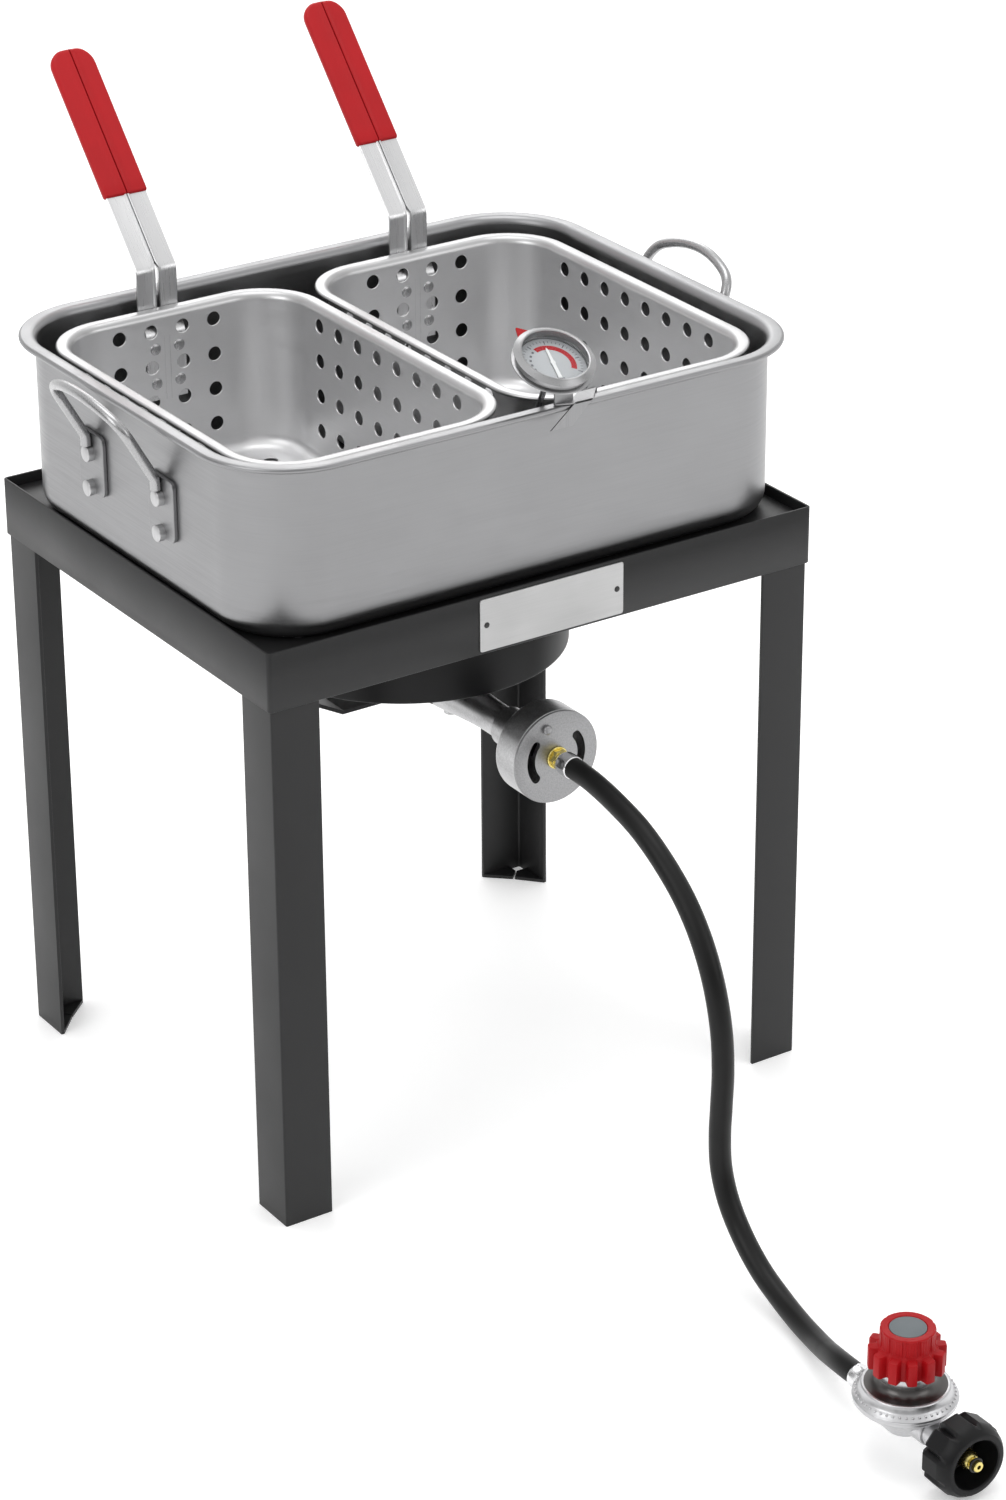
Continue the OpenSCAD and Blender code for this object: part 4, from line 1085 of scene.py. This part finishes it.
def make_thermometer():
    d, r = CASE_D, BEZEL_R
    bezel = [(r - 1, 1.7 - d), (r, 1.7 - d), (r, -3.4), (26.0, -3.4), (26.3, -3.1), (26.3, -2.8),
             (26.0, -2.5), (23.3, -1.3), (22.9, -0.8), (22.4, -0.45), (21.9, -0.55), (21.5, -0.8),
             (r - 1, -0.8)]
    place(lathe("dial_bezel", bezel, DIAL, 128), "bezel_steel", "thermometer", "thermometer_bezel", angle=28)
    f = FLANGE_R
    case = [(0, -d), (f - 0.4, -d), (f, 0.3 - d), (f, 0.7 - d), (f - 0.5, 1.1 - d), (r - 1, 1.6 - d),
            (r - 1, 3 - d), (r - 2, 3 - d), (r - 2, 1 - d), (0, 1 - d)]
    place(lathe("dial_case", case, DIAL, 128), "bezel_steel", "thermometer", "thermometer_case", angle=40)
    face = [(1.3, 1 - d), (r - 2.1, 1 - d), (r - 2.1, 1.5 - d), (r - 2.2, 1.6 - d), (1.3, 1.6 - d)]
    place(lathe("dial_face", face, DIAL, 96), "dial_paint", "thermometer", "thermometer_dial", angle=35)
    lens = lathe("dial_lens", rectangle(0, -2, r - 1.1, -0.9), DIAL, 96)
    place(lens, "lens_glass", "thermometer", "thermometer_lens", angle=35)
    z0, z1 = 1.6 - d, 1.68 - d

    def printed(name, outline, angle=0):
        return prism(name, outline, z0, z1, DIAL @ turned("Z", angle))

    zone = printed("dial_hot_zone", arc(0, 0, 15.6, -37, 111, 40) + arc(0, 0, 12.0, 111, -37, 40))
    place(zone, "dial_red", "thermometer")
    ticks = []
    for i in range(41):
        length, width = (1.6, 0.18) if i % 5 else (3.0, 0.34)
        ticks.append(printed("tick", rectangle(19.6 - length, -width, 19.6, width), -40 + 310 * i / 40))
    place(joined("dial_ticks", ticks), "dial_ink", "thermometer")
    blocks = [printed("block", rectangle(13.4, -0.9, 14.9, 0.9), 123 + 16.2 * i) for i in range(10)]
    place(joined("dial_scale_marks", blocks), "dial_ink", "thermometer")
    hand = [(-14, -1.3), (0, -1.1), (11, -0.8), (13, 0), (11, 0.8), (0, 1.1), (-14, 1.3)]
    hub_shape = [(0, 2.2 - d), (1.7, 2.2 - d), (1.8, 2.3 - d), (1.8, 2.5 - d), (1.4, 2.7 - d), (0, 2.7 - d)]
    hub = lathe("hub", hub_shape, DIAL, 32)
    pointer = prism("pointer", hand, 2.2 - d, 2.6 - d, DIAL @ turned("Z", 79))
    place(joined("dial_hand", [pointer, hub]), "needle_paint", "needle", "thermometer_needle", angle=35)
    ring = [(r + 0.3, -5), (r + 0.8, -5), (r + 1.0, -4.8), (r + 1.0, -4.0), (r + 0.8, -3.8), (r + 0.3, -3.8)]
    place(lathe("dial_set_ring", ring, DIAL, 96), "bezel_steel", "marker", angle=35)
    arrow = rounded([(r + 0.8, -6.0), (r + 9.0, 0), (r + 0.8, 6.0)], 0.4, 3)
    tip = prism("dial_set_pointer", arrow, -5, -3.8, DIAL @ turned("Z", 107))
    place(tip, "knob_red", "marker", "thermometer_marker", angle=35)
    stem = [(0, -d - 100), (1.5, -d - 100), (1.9, -d - 99.4), (1.9, -d), (0, -d)]
    parts = [lathe("rod", stem, DIAL, 36), prism("hex", rounded(hexagon(4.2), 0.4, 3), -d - 4, -d, DIAL)]
    place(joined("dial_stem", parts), "bright_steel", "thermometer", "thermometer_stem", angle=35,
          replaces=("thermometer_spindle",))


make_thermometer()

CLIP_T = 1.0
ARM = dict(x=7.4, w=14, y=-166.2)


def make_clip():
    z = RIM_Z / MM + 0.2
    lip_y = -PAN["w"] / 2 - PAN["lip"]
    x, y = ARM["x"], ARM["y"]
    top = [(x, y - 1.6), (19.5, lip_y - 1.6), (33, lip_y - 1.6), (46, -157), (32, -157), (24, -164),
           (x, y + 0.4)]
    outer = [(1, 0), (17, 0), (33, 14 + CLIP_T), (19.5, 14 + CLIP_T)]
    parts = [prism("top", top, z, z + CLIP_T, STAND)]
    for outline, py, pz in ((outer, lip_y - 0.6, z - 14), (rectangle(32, 0, 46, 17 + CLIP_T), -157, z - 17),
                            (rectangle(x, 0, x + ARM["w"], 21), y, z)):
        parts.append(prism("leaf", outline, 0, CLIP_T, at(0, py, pz) @ FORWARDS))
    collar_z = -18
    collar_shape = rounded(rectangle(-6, -7, x + ARM["w"] - 4, 7), [3, 0.5, 0.5, 3], 5)
    collar = prism("collar", collar_shape, collar_z - CLIP_T, collar_z, DIAL)
    cut_away(collar, lathe("bore", rectangle(0, collar_z - 4, 2.0, collar_z + 4), DIAL, 32))
    parts.append(collar)
    obj = joined("dial_clip", parts)
    place(obj, "clip_steel", "clip", "thermometer_clip", angle=35, bevel=0.25 * MM)


make_clip()


# -------- pieces kept from the CAD

KEPT = {
    "band_paint": ("pan_ledge", "support_bar_front", "support_bar_back"),
    "guard_paint": ("burner_bracket",),
    "zinc": ("bracket_rivets", "burner_bolt", "burner_nut", "adjusting_screw"),
    "burner_iron": ("burner_head", "burner_cap"),
    "brass_fitting": ("orifice_nut",),
    "seal_rubber": ("regulator_diaphragm",),
    "spring_wire": ("regulator_spring",),
}
for material, names in KEPT.items():
    for name in names:
        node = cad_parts[name]
        node.data.materials.clear()
        node.data.materials.append(M[material])
        add_bevel(node, 0.3 * MM)


# -------- floor and lights

FLOOR = dict(half=40.0, flat=3.0, bend=1.5, top=6.0)


def make_floor():
    """White paper that runs far past the object and sweeps up behind it."""
    tree, shader = new_material("floor_paper", (0.93, 0.93, 0.93), 0.0, 0.75)
    tone = tint(tree, noise(tree, 3, 3.0, 0.5), (0.92, 0.92, 0.92), (0.94, 0.94, 0.94))
    tree.links.new(tone, shader.inputs["Base Color"])
    shader.inputs["Emission Color"].default_value = (1, 1, 1, 1)
    shader.inputs["Emission Strength"].default_value = 0.26
    half, flat, bend = FLOOR["half"], FLOOR["flat"], FLOOR["bend"]
    sweep = [(-half, 0.0), (flat, 0.0)] + arc(flat, bend, bend, -80, 0, 8) + [(flat + bend, FLOOR["top"])]
    points = [(x, y, z) for y, z in sweep for x in (-half, half)]
    faces = [[2 * i, 2 * i + 1, 2 * i + 3, 2 * i + 2] for i in range(len(sweep) - 1)]
    obj = mesh_object("floor", points, faces, turned("Z", -33.5))
    for polygon in obj.data.polygons:
        polygon.use_smooth = True
    obj.data.materials.append(M["floor_paper"])


def add_light(name, position, width, height, power):
    """Rectangular lamp that faces the middle of the object."""
    data = bpy.data.lights.new(name, "AREA")
    data.shape = "RECTANGLE"
    data.size, data.size_y = width, height
    data.energy = power
    obj = new_object(name, data)
    ahead = (Vector((0, STAND_Y, 0.35)) - Vector(position)).normalized()
    obj.matrix_world = Matrix.Translation(position) @ ahead.to_track_quat("-Z", "Y").to_matrix().to_4x4()


make_floor()
add_light("key", (-2.6, -0.6, 1.9), 1.6, 1.8, 20)
add_light("fill", (1.4, -2.6, 1.6), 1.6, 1.6, 10)
add_light("top", (0.2, 0.3, 2.8), 1.6, 1.6, 18)
add_light("back", (1.2, 2.2, 1.8), 1.6, 1.2, 12)


def make_world():
    """White studio, dim near the horizon and bright overhead, which the metal reflects."""
    world = bpy.data.worlds.new("studio")
    bpy.context.scene.world = world
    world.use_nodes = True
    tree = world.node_tree
    background = tree.nodes["Background"]
    background.inputs["Color"].default_value = (1, 1, 1, 1)
    strength = spread(tree, height_in(tree, "Generated"), 0.22, 0.95, 0.10, 0.70)
    tree.links.new(strength, background.inputs["Strength"])


make_world()
bpy.context.scene.view_settings.view_transform = "Standard"
